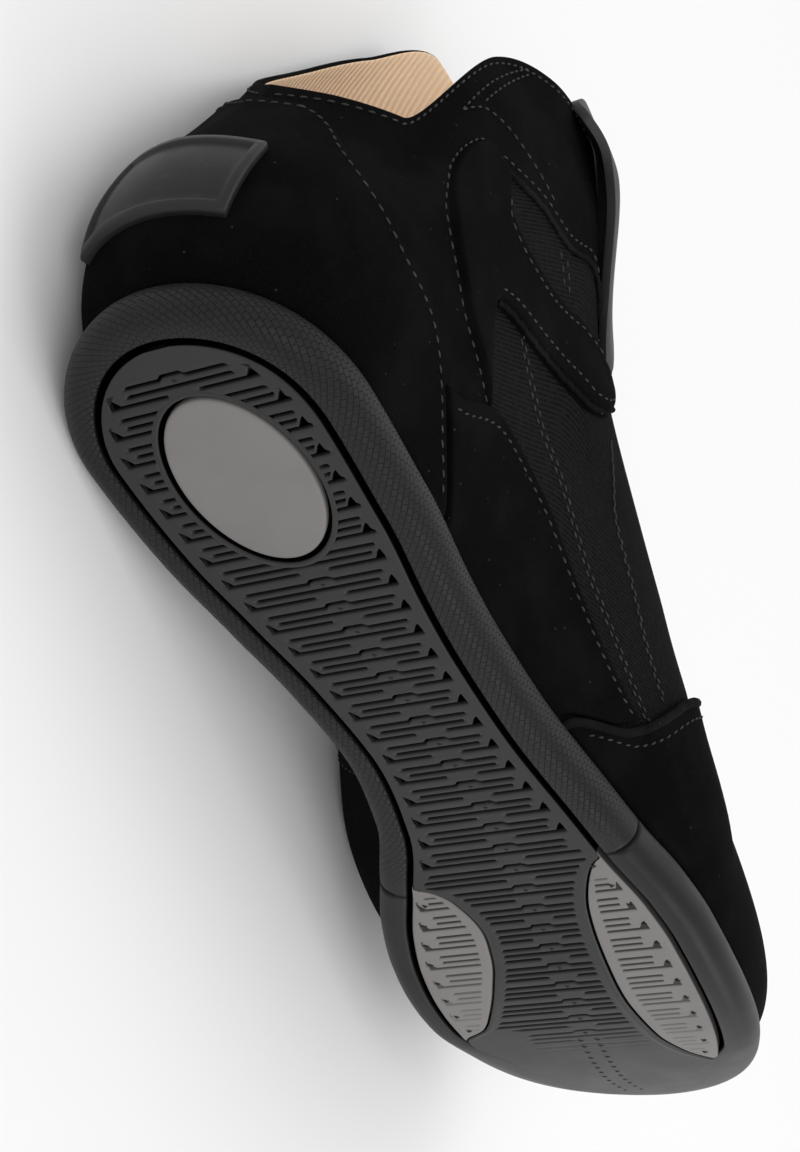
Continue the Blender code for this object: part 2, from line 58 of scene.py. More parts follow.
# The shoe's own frame, in millimetres: x from heel to toe, y to the inner side, z up from the
# sole. The two flat mounts under the sole say where it lies in the row's frame
HEEL_FLAT = (85.0, 2.0, 0.0)
mounts = {mount["name"]: mount for mount in frame["record"]["mounts"]}
shoe_up = -np.array(mounts["heel_flat"]["axis"], float)
shoe_up /= np.linalg.norm(shoe_up)
heel_flat = np.array(mounts["heel_flat"]["pos_m"], float)
shoe_ahead = np.array(mounts["forefoot_flat"]["pos_m"], float) - heel_flat
shoe_ahead -= shoe_up * shoe_ahead.dot(shoe_up)
shoe_ahead /= np.linalg.norm(shoe_ahead)
SHOE_AXES = np.array((shoe_ahead, np.cross(shoe_up, shoe_ahead), shoe_up))
SHOE_ORIGIN = heel_flat - MM * np.array(HEEL_FLAT) @ SHOE_AXES
INSIDE = np.array((110.0, 6.0, 45.0))
ABOVE_SOLE = np.array((110.0, 6.0, 400.0))

# Outline of the sole and the ribs of the last, as in the solids but for a slightly higher collar
HEEL_X = -1.0
LENGTH = 306.0
HEEL_ROUND_X = 36.0
TOE_ROUND_X = 224.0
TOE_FULLNESS = 0.53
SPRING_X = 212.0
SPRING_CURVE = 0.0030
RIM_WIDTH = 8.0
RIM_BELLY_Z = 5.2
RIM_TOP_Z = 9.8
LIP_WIDTH = 3.8
LIP_ROUND = 2.4
RECESS_Z = 3.2
TRAY_Z = 6.2
PLATE_OUT = -9.4
UPPER_INSET = 4.2
UPPER_Z = 11.0
WALL = 2.2
VAMP_SLOPE = -0.42
LATERAL = -1
MEDIAL = 1

Station = namedtuple("Station", "x middle half")
SOLE = (
    Station(HEEL_X, 0.0, 35.4),
    Station(36.0, 2.4, 35.4),
    Station(64.0, 3.2, 34.0),
    Station(87.0, 3.2, 30.6),
    Station(108.0, 2.6, 27.9),
    Station(129.0, 2.2, 26.9),
    Station(155.0, 4.0, 30.3),
    Station(174.0, 8.2, 35.9),
    Station(192.0, 12.0, 42.0),
    Station(208.0, 15.0, 45.0),
    Station(222.0, 17.3, 45.8),
    Station(251.0, 21.5, 45.8),
    Station(305.0, 29.0, 45.8),
)
Rib = namedtuple(
    "Rib", "at top_x outer_gap inner_gap outer_z inner_z outer_belly inner_belly rise"
    " outer_shoulder inner_shoulder drop")
RIBS = (
    Rib(0.00, 5.0, 0.0, 0.0, 83.0, 83.0, 27.0, 27.0, 20.0, 4.0, 4.0, 30.0),
    Rib(0.11, 10.0, 14.0, 12.0, 80.0, 96.0, 22.0, 20.0, 21.0, 4.0, 4.0, 27.0),
    Rib(0.20, 24.0, 24.0, 17.0, 86.0, 121.0, 15.0, -2.0, 25.0, 4.0, 8.0, 26.0),
    Rib(0.28, 42.0, 26.0, 18.0, 132.0, 151.0, 10.0, -4.0, 30.0, 5.0, 16.0, 34.0),
    Rib(0.34, 63.0, 26.0, 15.5, 151.0, 176.0, 9.0, 2.0, 34.0, 6.0, 16.0, 38.0),
    Rib(0.40, 90.0, 21.0, 14.5, 161.0, 172.0, 9.0, 15.0, 34.0, 10.0, 13.0, 34.0),
    Rib(0.46, 110.0, 17.0, 14.0, 125.0, 127.0, 10.0, 32.0, 30.0, 18.0, 18.0, 24.0),
    Rib(0.52, 141.0, 14.0, 14.0, 95.0, 96.0, 10.0, 44.0, 25.0, 24.0, 24.0, 14.0),
    Rib(0.58, 171.0, 12.0, 12.0, 79.0, 79.0, 9.0, 43.0, 21.0, 26.0, 26.0, 8.0),
    Rib(0.63, 191.0, 6.0, 6.0, 71.0, 71.0, 8.0, 36.0, 19.0, 29.0, 29.0, 4.0),
    Rib(0.65, 197.0, 0.0, 0.0, 69.0, 69.0, 8.0, 33.0, 18.0, 30.0, 30.0, 1.0),
    Rib(0.72, 221.0, 0.0, 0.0, 62.5, 62.5, 8.0, 25.0, 17.0, 31.0, 31.0, 0.0),
    Rib(0.80, 242.0, 0.0, 0.0, 58.5, 58.5, 9.0, 19.0, 15.0, 29.0, 29.0, 0.0),
    Rib(0.90, 258.0, 0.0, 0.0, 57.0, 57.0, 9.0, 12.0, 13.0, 26.0, 26.0, 0.0),
    Rib(1.00, 264.0, 0.0, 0.0, 57.0, 57.0, 9.0, 9.0, 12.0, 24.0, 24.0, 0.0),
)
RIDGE_AT = 0.65

# Free edges of the overlays, as place along the foot by height up the rib
Edge = namedtuple("Edge", "up at")
COUNTER_EDGE = (
    Edge(0.00, 0.335),
    Edge(0.10, 0.310),
    Edge(0.24, 0.270),
    Edge(0.40, 0.198),
    Edge(0.64, 0.147),
    Edge(0.79, 0.128),
    Edge(0.85, 0.106),
    Edge(0.885, 0.075),
    Edge(0.898, 0.045),
)
VAMP_EDGE = (
    Edge(0.00, 0.475),
    Edge(0.15, 0.515),
    Edge(0.38, 0.555),
    Edge(0.65, 0.605),
    Edge(0.85, 0.640),
    Edge(1.00, 0.668),
)
Panel = namedtuple("Panel", "along high")
SIDE_PANEL = (
    Panel(0.00, 0.20),
    Panel(0.35, 0.28),
    Panel(0.70, 0.25),
    Panel(1.00, 0.21),
)

# Outline of the arched ankle overlay with its lower finger, and the seams beside it, as places
# along the foot and heights up the rib
Spot = namedtuple("Spot", "at up")
ANKLE_OUTLINE = (
    Spot(0.337, 0.262),
    Spot(0.318, 0.300),
    Spot(0.290, 0.360),
    Spot(0.272, 0.430),
    Spot(0.260, 0.500),
    Spot(0.251, 0.600),
    Spot(0.2515, 0.680),
    Spot(0.262, 0.725),
    Spot(0.280, 0.738),
    Spot(0.297, 0.715),
    Spot(0.308, 0.690),
    Spot(0.3115, 0.655),
    Spot(0.314, 0.620),
    Spot(0.325, 0.592),
    Spot(0.343, 0.572),
    Spot(0.365, 0.565),
    Spot(0.390, 0.575),
    Spot(0.415, 0.600),
    Spot(0.440, 0.670),
    Spot(0.462, 0.745),
    Spot(0.473, 0.757),
    Spot(0.467, 0.680),
    Spot(0.450, 0.590),
    Spot(0.425, 0.500),
    Spot(0.400, 0.462),
    Spot(0.365, 0.448),
    Spot(0.335, 0.444),
    Spot(0.316, 0.432),
    Spot(0.317, 0.390),
    Spot(0.322, 0.340),
    Spot(0.330, 0.290),
)
REAR_SPOTS = slice(0, 11)
FINGER_TOP_SPOTS = slice(11, 20)
FINGER_LOW_SPOTS = slice(21, 28)
WINDOW_TOP = (
    Spot(0.300, 0.700),
    Spot(0.315, 0.692),
    Spot(0.345, 0.685),
    Spot(0.375, 0.670),
    Spot(0.405, 0.702),
    Spot(0.435, 0.766),
    Spot(0.462, 0.850),
)
TEXTILE_SEAM = (
    Spot(0.345, 0.455),
    Spot(0.360, 0.410),
    Spot(0.395, 0.355),
    Spot(0.425, 0.330),
    Spot(0.450, 0.312),
    Spot(0.485, 0.285),
    Spot(0.515, 0.250),
    Spot(0.535, 0.230),
)
FRONT_ROW = (
    Spot(0.470, 0.620),
    Spot(0.480, 0.490),
    Spot(0.500, 0.430),
    Spot(0.520, 0.370),
    Spot(0.545, 0.330),
)
PATCH_SPAN = np.array((400.0, 135.0))

# Soft creases: two ends on the upper, half width and depth in millimetres
Crease = namedtuple("Crease", "side at up to_at to_up wide depth")
CREASES = (
    Crease(LATERAL, 0.385, 0.36, 0.470, 0.50, 5.0, 1.3),
    Crease(LATERAL, 0.360, 0.52, 0.440, 0.66, 4.0, 0.9),
    Crease(LATERAL, 0.175, 0.70, 0.235, 0.92, 6.0, 1.2),
    Crease(LATERAL, 0.215, 0.50, 0.250, 0.80, 5.0, -0.7),
    Crease(LATERAL, 0.600, 0.45, 0.650, 0.98, 7.0, 0.9),
    Crease(LATERAL, 0.660, 0.50, 0.705, 0.98, 6.0, 0.7),
    Crease(MEDIAL, 0.385, 0.34, 0.470, 0.50, 5.0, 1.3),
    Crease(MEDIAL, 0.240, 0.55, 0.330, 0.80, 6.0, 1.0),
    Crease(MEDIAL, 0.600, 0.45, 0.650, 0.98, 7.0, 0.9),
    Crease(MEDIAL, 0.660, 0.50, 0.705, 0.98, 6.0, 0.7),
)
CREASE_SPAN = np.array((300.0, 110.0))

# Tread: pitch of the motif and the three lines in each pitch, heel oval and forefoot lenses
PITCH = 7.5
FIRST_LINE_X = 16.0
LINE_SHIFT = (0.0, 2.2, 4.3)
LINE_SECTION = ((-0.80, 0.0), (-0.50, 0.08), (-0.36, 1.0), (0.36, 1.0), (0.50, 0.08), (0.80, 0.0))
MID_SHIFT = 5.55
OVAL_X = 45.5
OVAL_Y = 1.6
OVAL_LONG = 45.5
OVAL_WIDE = 31.5
OVAL_TURN = math.radians(4.0)
Place = namedtuple("Place", "x y")
PAD_MEDIAL = (
    Place(176.0, 39.0),
    Place(179.0, 31.5),
    Place(184.0, 27.4),
    Place(194.0, 25.5),
    Place(206.0, 28.5),
    Place(218.0, 34.5),
    Place(229.0, 41.5),
    Place(236.0, 47.0),
    Place(241.0, 54.0),
)
PAD_LATERAL = (
    Place(171.5, -21.0),
    Place(175.0, -16.0),
    Place(180.0, -12.0),
    Place(192.0, -6.0),
    Place(212.0, -1.0),
    Place(232.0, 2.0),
    Place(246.0, 2.4),
    Place(256.0, 0.4),
    Place(262.5, -3.5),
    Place(266.0, -8.0),
)
MOTIF_MIDDLE = (
    Place(0.0, 1.0),
    Place(150.0, 1.0),
    Place(166.0, 3.3),
    Place(196.0, 8.8),
    Place(226.0, 15.5),
    Place(248.0, 22.4),
    Place(290.0, 32.0),
)
SCALES_END = {LATERAL: 0.5417, MEDIAL: 0.5502}
GROOVE_END = {LATERAL: (0.745, 0.80), MEDIAL: (0.685, 0.74)}
LENS_POINT = 3.0
LENS_LEAST = 0.3
LENS_GAP = 0.45

# Strap, tongue and heel plate as ranges of the ribs
STRAP_TO = 0.468
STRAP_REACH = 0.75
StrapEdge = namedtuple("StrapEdge", "across rear stand front")
STRAP_REAR = (
    StrapEdge(0.00, 0.462, -1.5, -1.5),
    StrapEdge(0.06, 0.438, 0.4, -0.2),
    StrapEdge(0.12, 0.408, 3.0, 1.0),
    StrapEdge(0.18, 0.384, 4.4, 1.7),
    StrapEdge(0.24, 0.366, 2.2, 1.7),
    StrapEdge(0.30, 0.364, -0.3, 1.7),
    StrapEdge(0.44, 0.408, 2.2, 1.7),
    StrapEdge(0.70, 0.410, 2.2, 1.7),
    StrapEdge(0.88, 0.418, 1.2, 1.0),
    StrapEdge(1.00, 0.455, -1.5, -1.5),
)
TONGUE_FROM = 0.425
TONGUE_TO = 0.646
TONGUE_REACH = 0.86
TONGUE_RISE = 12.0
TONGUE_EDGE = -2.1
TONGUE_OFFSET = -4.3
BAND_ON_SIDE = 0.3
BADGE_TOP = (-0.054, 0.080)
BADGE_BOTTOM = (-0.080, 0.066)
BADGE_LOW = 0.17
BADGE_HIGH = 0.49
BADGE_OFFSET = 1.7

# Camera of the photograph in the shoe's frame, with its focal length and its height in pixels
CAMERA_AT = (-224.5, -299.6, -349.5)
CAMERA_RIGHT = (0.47703, -0.83854, 0.26325)
CAMERA_DOWN = (0.67809, 0.16059, -0.71722)
CAMERA_AHEAD = (0.55913, 0.52064, 0.64521)
FOCUS_PIXELS = 2600.0
PHOTO_PIXELS = 1152.0
SENSOR_MM = 36.0


def colour(name, text, value):
    """A colour setting."""
    return bpy.props.FloatVectorProperty(
        name=name, description=text, subtype="COLOR", size=3, min=0.0, max=1.0, default=value)


def length(name, text, value):
    """A length setting in millimetres, kept in metres."""
    return bpy.props.FloatProperty(
        name=name, description=text, default=value * MM, min=0.0, unit="LENGTH", subtype="DISTANCE")


class SNEAKER_PG_sizes(bpy.types.PropertyGroup):
    """Sizes of the dressing."""
    overlay_lift: length("Overlay lift", "How far the suede overlays stand off the wall", 1.5)
    overlay_round: length("Overlay edge", "Width of the rounded edge of an overlay", 1.3)
    stitch_length: length("Stitch length", "Length of one stitch", 2.0)
    stitch_step: length("Stitch step", "Distance from stitch to stitch", 3.1)
    stitch_wide: length("Stitch thickness", "Thickness of the sewing thread", 0.55)
    welt_wide: length("Welt", "Thickness of the raised welt on the vamp seam", 2.4)
    tread_depth: length("Tread depth", "Depth of the tread grooves", 1.25)
    lens_depth: length("Lens groove depth", "Depth of the fine grooves in the forefoot lenses", 0.45)
    strap_thick: length("Strap thickness", "Thickness of the ankle strap", 2.2)
    tongue_thick: length("Tongue thickness", "Thickness of the padded tongue", 4.0)
    badge_thick: length("Heel plate thickness", "Thickness of the heel plate at its frame", 2.0)
    badge_frame: length("Heel plate frame", "Width of the raised frame of the heel plate", 3.0)


class SNEAKER_PG_colours(bpy.types.PropertyGroup):
    """Colours of the dressing."""
    suede: colour("Suede", "Nap of the black suede", (0.0020, 0.0020, 0.0021))
    textile: colour("Textile", "Ribbed textile of the side", (0.0105, 0.0098, 0.0098))
    rim: colour("Rim rubber", "Rolled rim of the sole", (0.0088, 0.0087, 0.0085))
    tread: colour("Tread rubber", "Tread plate", (0.0135, 0.0135, 0.0135))
    lens: colour("Lens rubber", "Heel oval and forefoot lenses", (0.165, 0.157, 0.152))
    # The lining colour is set paler than the real tan, as painted light for the light that doesn't reach
    # inside the shoe.
    lining: colour("Lining", "Ribbed lining inside the shoe", (0.90, 0.65, 0.43))
    strap: colour("Strap", "Smooth ankle strap", (0.026, 0.026, 0.027))
    badge: colour("Heel plate", "Moulded plate on the heel", (0.0125, 0.0123, 0.0121))
    thread: colour("Thread", "Sewing thread", (0.011, 0.011, 0.0115))
    floor: colour("Floor", "Pale studio floor", (0.82, 0.82, 0.82))


def to_row(points):
    """Points of the shoe's frame in millimetres, in the row's frame in metres."""
    return SHOE_ORIGIN + MM * np.asarray(points, float) @ SHOE_AXES


def ease(value):
    """Smooth step from 0 to 1."""
    value = np.clip(value, 0.0, 1.0)
    return value * value * (3 - 2 * value)


def smooth_curve(places, values):
    """Monotone cubic through the points, flat at both ends, for arrays of places."""
    xs = np.array(places, float)
    ys = np.array(values, float)
    steps = np.diff(xs)
    rises = np.diff(ys) / steps
    slopes = np.zeros(len(xs))
    for i in range(1, len(xs) - 1):
        if rises[i - 1] * rises[i] > 0:
            before = 2 * steps[i] + steps[i - 1]
            after = steps[i] + 2 * steps[i - 1]
            slopes[i] = (before + after) / (before / rises[i - 1] + after / rises[i])

    def read(place):
        place = np.clip(np.asarray(place, float), xs[0], xs[-1])
        i = np.clip(np.searchsorted(xs, place, side="right") - 1, 0, len(steps) - 1)
        u = (place - xs[i]) / steps[i]
        blend = u * u * (3 - 2 * u)
        start = u * (1 - u) ** 2 * slopes[i] * steps[i]
        end = u * u * (u - 1) * slopes[i + 1] * steps[i]
        return ys[i] + (ys[i + 1] - ys[i]) * blend + start + end

    return read


def column(table, name):
    """One named column of a table as a smooth function of its first column."""
    return smooth_curve([row[0] for row in table], [getattr(row, name) for row in table])


middle = column(SOLE, "middle")
body_half = column(SOLE, "half")
rib_column = {name: column(RIBS, name) for name in Rib._fields[1:]}
counter_edge = column(COUNTER_EDGE, "at")
vamp_edge = column(VAMP_EDGE, "at")
panel_high = column(SIDE_PANEL, "high")
motif_middle = column(MOTIF_MIDDLE, "y")


def half_width(x):
    """Half width of the rim, with the heel and the toe closed by round ends."""
    heel = np.clip((HEEL_ROUND_X - x) / (HEEL_ROUND_X - HEEL_X), 0, 1)
    toe = np.clip((x - TOE_ROUND_X) / (HEEL_X + LENGTH - TOE_ROUND_X), 0, 1)
    return body_half(x) * (1 - heel * heel) ** 0.5 * (1 - toe * toe) ** TOE_FULLNESS


def spring(x):
    """Lift of the sole towards the toe."""
    return SPRING_CURVE * np.maximum(x - SPRING_X, 0) ** 2


def fold_side(at, side):
    """A place before the heel or past the toe is one on the other side."""
    at = np.asarray(at, float)
    side = np.where((at < 0) | (at > 1), -side, side)
    at = np.where(at < 0, -at, at)
    return np.where(at > 1, 2 - at, at), side


def plan(at, side):
    """Points of the rim's outline, at from 0 at the heel to 1 at the toe."""
    at, side = fold_side(at, side)
    x = HEEL_X + LENGTH * (1 - np.cos(math.pi * at)) / 2
    return np.stack((x, middle(x) + side * half_width(x)), -1)


def outward(at, side):
    """Unit vectors out of the outline."""
    step = plan(at + 0.002, side) - plan(at - 0.002, side)
    normal = np.asarray(side)[..., None] * np.stack((-step[..., 1], step[..., 0]), -1)
    return normal / np.linalg.norm(normal, axis=-1, keepdims=True)


def sole_point(at, side, out, z):
    """Points at a distance out from the outline and a height above the sole's lift."""
    xy = plan(at, side) + np.asarray(out)[..., None] * outward(at, side)
    return np.stack((xy[..., 0], xy[..., 1], z + spring(xy[..., 0])), -1)


def rib_at(at, side, up):
    """Points on the upper's outer face; below 0 they go straight down into the cup."""
    at, side = fold_side(at, side)
    row = {name: read(at) for name, read in rib_column.items()}
    out = outward(at, side)
    zero = np.zeros_like(at)
    base = sole_point(at, side, zero - UPPER_INSET, UPPER_Z)

    def own(name):
        return np.where(side == MEDIAL, row["inner_" + name], row["outer_" + name])

    top = np.stack((row["top_x"], middle(row["top_x"]) + side * own("gap"), own("z")), -1)
    swell = np.stack((out[..., 0], out[..., 1], zero), -1)
    lean = np.stack((out[..., 0], out[..., 1], np.maximum(out[..., 0], 0) * VAMP_SLOPE), -1)
    rise = np.stack((zero, zero, row["rise"]), -1)
    drop = np.stack((zero, zero, row["drop"]), -1)
    low = base + own("belly")[..., None] * swell + rise
    high = top + own("shoulder")[..., None] * lean - drop
    climb = np.clip(up, 0, 1)[..., None]
    rest = 1 - climb
    point = base * rest ** 3 + 3 * low * climb * rest ** 2 + 3 * high * climb ** 2 * rest + top * climb ** 3
    return point + np.stack((zero, zero, np.minimum(up, 0)), -1)


def crease(at, side, up):
    """Depth of the soft creases at places of the upper."""
    at, side = fold_side(at, side)
    here = np.stack((at, up), -1) * CREASE_SPAN
    depth = np.zeros_like(at)
    for row in CREASES:
        start = np.array((row.at, row.up)) * CREASE_SPAN
        run = np.array((row.to_at, row.to_up)) * CREASE_SPAN - start
        along = np.clip(((here - start) @ run) / run.dot(run), 0, 1)
        gap = np.linalg.norm(here - start - along[..., None] * run, axis=-1)
        fade = np.sin(math.pi * (0.15 + 0.7 * along))
        depth = depth + np.where(side == row.side, row.depth * fade * np.exp(-(gap / row.wide) ** 2), 0)
    return depth


def upper_frame(at, side, up):
    """Points of the upper with their outward normals and their directions up the rib."""
    at = np.asarray(at, float)
    up = np.asarray(up, float)
    side = np.broadcast_to(np.asarray(side), at.shape)
    near = np.clip(up, 0.01, 0.97)
    along = rib_at(at + 0.004, side, near) - rib_at(at - 0.004, side, near)
    climb = rib_at(at, side, near + 0.01) - rib_at(at, side, near - 0.01)
    normal = side[..., None] * np.cross(climb, along)
    normal /= np.linalg.norm(normal, axis=-1, keepdims=True)
    climb /= np.linalg.norm(climb, axis=-1, keepdims=True)
    point = rib_at(at, side, up) - crease(at, side, up)[..., None] * normal
    return point, normal, climb


def upper_at(at, side, up, offset=0.0):
    """Points of the upper moved out along its own normals."""
    point, normal = upper_frame(at, side, up)[:2]
    return point + np.asarray(offset)[..., None] * normal


def over_instep(at, across, offset, reach):
    """Points on a band that runs up one side, over the throat and down the other side."""
    side = np.where(across < 0.5, LATERAL, MEDIAL)
    from_edge = np.minimum(across, 1 - across)
    share = np.clip(from_edge / BAND_ON_SIDE, 0, 1)
    on_side = upper_at(at, side, reach + (1 - reach) * share, offset)
    ends = []
    for edge in (LATERAL, MEDIAL):
        tip = upper_at(at, edge, np.ones_like(at), offset)
        back = tip - upper_at(at, edge, np.full_like(at, 0.96), offset)
        ends.append((tip, back / np.linalg.norm(back, axis=-1, keepdims=True)))
    (start, leave), (stop, arrive) = ends
    span = np.linalg.norm(stop - start, axis=-1, keepdims=True)
    u = np.clip((across - BAND_ON_SIDE) / (1 - 2 * BAND_ON_SIDE), 0, 1)[..., None]
    blend = u * u * (3 - 2 * u)
    bend = u * (1 - u) ** 2 * leave * span - u * u * (u - 1) * arrive * span
    across_throat = start + (stop - start) * blend + bend
    return np.where((from_edge <= BAND_ON_SIDE)[..., None], on_side, across_throat)


def plate_line(side):
    """The tread plate's edge on one side as a function of x."""
    at = np.linspace(0, 1, 801)
    line = sole_point(at, np.full_like(at, side), np.full_like(at, PLATE_OUT), 0.0)
    order = np.argsort(line[:, 0])
    xs = line[order, 0]
    ys = line[order, 1]
    return lambda x: np.interp(x, xs, ys)


plate_side = {LATERAL: plate_line(LATERAL), MEDIAL: plate_line(MEDIAL)}
PLATE_FIRST = HEEL_X - PLATE_OUT + 0.05
PLATE_LAST = HEEL_X + LENGTH + PLATE_OUT - 0.05


def lens_edge(table, side, x, grow=0.0):
    """Inner edge of a forefoot lens, drawn out to a point at both ends."""
    inner = smooth_curve([row.x for row in table], [row.y for row in table])(x)
    outer = plate_side[side](x)
    from_tip = np.minimum(x - table[0].x + grow, table[-1].x + grow - x)
    point = np.clip(from_tip / LENS_POINT, 0, 1) ** 0.5
    wide = np.maximum(side * (outer - inner) + grow, LENS_LEAST) * point
    return outer - side * wide


def new_sheet(columns, rows, place):
    """A grid of faces with place(a, b) giving its corners, a and b counting columns and rows."""
    mesh = bmesh.new()
    bmesh.ops.create_grid(mesh, x_segments=columns, y_segments=rows, size=0.5)
    flat = np.array([vert.co for vert in mesh.verts])
    a = np.rint((flat[:, 0] + 0.5) * columns).astype(int)
    b = np.rint((flat[:, 1] + 0.5) * rows).astype(int)
    points = to_row(place(a, b))
    for vert, point in zip(mesh.verts, points):
        vert.co = point
    mesh.verts.index_update()
    return mesh, a, b


def paint(mesh, name, values):
    """Keep one number per corner as an attribute."""
    layer = mesh.verts.layers.float.new(name)
    for vert, value in zip(mesh.verts, values):
        vert[layer] = value


def unfold(mesh, u, v):
    """Keep distances along a sheet as its UV map, in millimetres times 0.01."""
    layer = mesh.loops.layers.uv.new("cut")
    flat = np.stack((u, v), -1) * 0.01
    for face in mesh.faces:
        for loop in face.loops:
            loop[layer].uv = flat[loop.vert.index]


def run_lengths(points, axis=0):
    """Distance run along a line of points, or along the lines of a grid of them."""
    steps = np.linalg.norm(np.diff(points, axis=axis), axis=-1)
    return np.insert(np.cumsum(steps, axis=axis), 0, 0.0, axis=axis)


def close_seams(mesh):
    """Join corners that meet, drop faces with no area and point the faces one way."""
    bmesh.ops.remove_doubles(mesh, verts=mesh.verts, dist=0.02 * MM)
    bmesh.ops.dissolve_degenerate(mesh, edges=mesh.edges, dist=0.01 * MM)
    bmesh.ops.recalc_face_normals(mesh, faces=mesh.faces)


def face_away(mesh, inside=INSIDE):
    """Point a sheet away from a place inside the shoe."""
    close_seams(mesh)
    centre = Vector(to_row(inside))
    facing = 0.0
    for face in mesh.faces:
        facing += face.normal.dot(face.calc_center_median() - centre) * face.calc_area()
    if facing < 0:
        bmesh.ops.reverse_faces(mesh, faces=mesh.faces)


def add_piece(name, mesh, finishes, slot, replaces=()):
    """Make the piece, hang it on the body and say which solids it stands for."""
    data = bpy.data.meshes.new(name)
    mesh.to_mesh(data)
    mesh.free()
    data.shade_smooth()
    for finish in finishes:
        data.materials.append(finish)
    piece = bpy.data.objects.new(name, data)
    bpy.context.scene.collection.objects.link(piece)
    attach(piece, BODY)
    if replaces:
        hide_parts(*replaces)
    return piece


def shade(name, by=1.0):
    """One of the panel's colours, times a factor."""
    return tuple(min(part * by, 1.0) for part in getattr(bpy.context.scene.sneaker_colours, name))


class Finish:
    """A material under construction: its nodes and its Principled shader."""

    def __init__(self, name, kind, roughness, level=0.5, by=1.0):
        self.made = bpy.data.materials.new(name)
        self.made.use_nodes = True
        self.tree = self.made.node_tree
        self.shader = self.tree.nodes["Principled BSDF"]
        self.base = shade(kind, by)
        self.shader.inputs["Roughness"].default_value = roughness
        self.shader.inputs["Specular IOR Level"].default_value = level
        self.shader.inputs["Base Color"].default_value = (*self.base, 1.0)

    def times(self, by):
        """The base colour times a factor."""
        return tuple(min(part * by, 1.0) for part in self.base)

    def feed(self, socket, value):
        """Link a value into a socket, or set it there."""
        if isinstance(value, bpy.types.NodeSocket):
            self.tree.links.new(value, socket)
        else:
            socket.default_value = value

    def node(self, kind, **settings):
        """Add a node; settings whose names are sockets are set or linked there."""
        made = self.tree.nodes.new(kind)
        for name, value in settings.items():
            if name in made.inputs:
                self.feed(made.inputs[name], value)
            else:
                setattr(made, name, value)
        return made

    def place(self):
        """Object coordinates in metres."""
        return self.node("ShaderNodeTexCoord").outputs["Object"]

    def cut(self):
        """The sheet's own UV map."""
        return self.node("ShaderNodeUVMap", uv_map="cut").outputs["UV"]

    def noise(self, scale, detail):
        """Noise with a scale per metre."""
        made = self.node("ShaderNodeTexNoise", Vector=self.place(), Scale=scale, Detail=detail)
        return made.outputs["Fac"]

    def attribute(self, name):
        """A number kept at the corners of the mesh."""
        return self.node("ShaderNodeAttribute", attribute_name=name).outputs["Fac"]

    def ramp(self, value, low, high):
        """0 below low, 1 above high."""
        ends = {"Value": value, "From Min": low, "From Max": high}
        made = self.node("ShaderNodeMapRange", interpolation_type="SMOOTHSTEP", **ends)
        return made.outputs["Result"]

    def between(self, value, low, high):
        """A number that runs from low to high with a value from 0 to 1."""
        made = self.node("ShaderNodeMapRange", **{"Value": value, "To Min": low, "To Max": high})
        return made.outputs["Result"]

    def math(self, operation, first, second):
        """One sum of two values."""
        made = self.node("ShaderNodeMath", operation=operation)
        self.feed(made.inputs[0], first)
        self.feed(made.inputs[1], second)
        return made.outputs[0]

    def blend(self, share, first, second):
        """Mix of two colours."""
        made = self.node("ShaderNodeMix", data_type="RGBA", Factor=share)
        for name, value in (("A", first), ("B", second)):
            socket = [s for s in made.inputs if s.name == name and s.type == "RGBA"][0]
            self.feed(socket, value if isinstance(value, bpy.types.NodeSocket) else (*value, 1.0))
        return [s for s in made.outputs if s.type == "RGBA"][0]

    def tint(self, share, other):
        """Base colour that goes to another colour by share."""
        source = self.shader.inputs["Base Color"]
        first = source.links[0].from_socket if source.links else self.base
        self.feed(source, self.blend(share, first, other))

    def cloud(self, scale, detail, low, high, by):
        """Noisy patches in which the base colour is multiplied."""
        self.tint(self.ramp(self.noise(scale, detail), low, high), self.times(by))

    def bump(self, height, strength, distance):
        """Add a bump on top of those before it, distance in millimetres."""
        made = self.node("ShaderNodeBump", Strength=strength, Distance=distance * MM, Height=height)
        source = self.shader.inputs["Normal"]
        if source.links:
            self.feed(made.inputs["Normal"], source.links[0].from_socket)
        self.feed(source, made.outputs["Normal"])

    def grain(self, scale, detail, strength, distance):
        """Noisy bump."""
        self.bump(self.noise(scale, detail), strength, distance)

    def gloss(self, depth, level):
        """Specular level that goes to nothing in the grooves."""
        self.feed(self.shader.inputs["Specular IOR Level"], self.between(depth, level, 0.0))

    def rough(self, scale, detail, low, high):
        """Roughness that wanders from low to high."""
        self.feed(self.shader.inputs["Roughness"], self.between(self.noise(scale, detail), low, high))


def suede_finish(name, zones=False, nap_light=1.0):
    """Black suede with short nap, brushed patches and lint; zones adds the ribbed textile."""
    made = Finish(name, "suede", 0.93, 0.03, nap_light)
    made.cloud(60.0, 3.0, 0.42, 0.68, 2.0)
    nap = made.noise(2600.0, 3.0)
    made.tint(made.ramp(nap, 0.50, 0.80), made.times(2.6))
    lint = made.node("ShaderNodeTexVoronoi", Vector=made.place(), Scale=420.0)
    spot = made.ramp(lint.outputs["Distance"], 0.13, 0.08)
    some = made.ramp(made.noise(300.0, 1.0), 0.56, 0.64)
    made.tint(made.math("MULTIPLY", spot, some), made.times(14.0))
    made.bump(nap, 0.55, 0.35)
    made.grain(320.0, 2.0, 0.35, 0.5)
    if zones:
        zone = made.attribute("textile")
        made.tint(zone, textile_colour(made))
        made.bump(made.math("MULTIPLY", textile_height(made), zone), 0.8, 0.5)
    return made.made


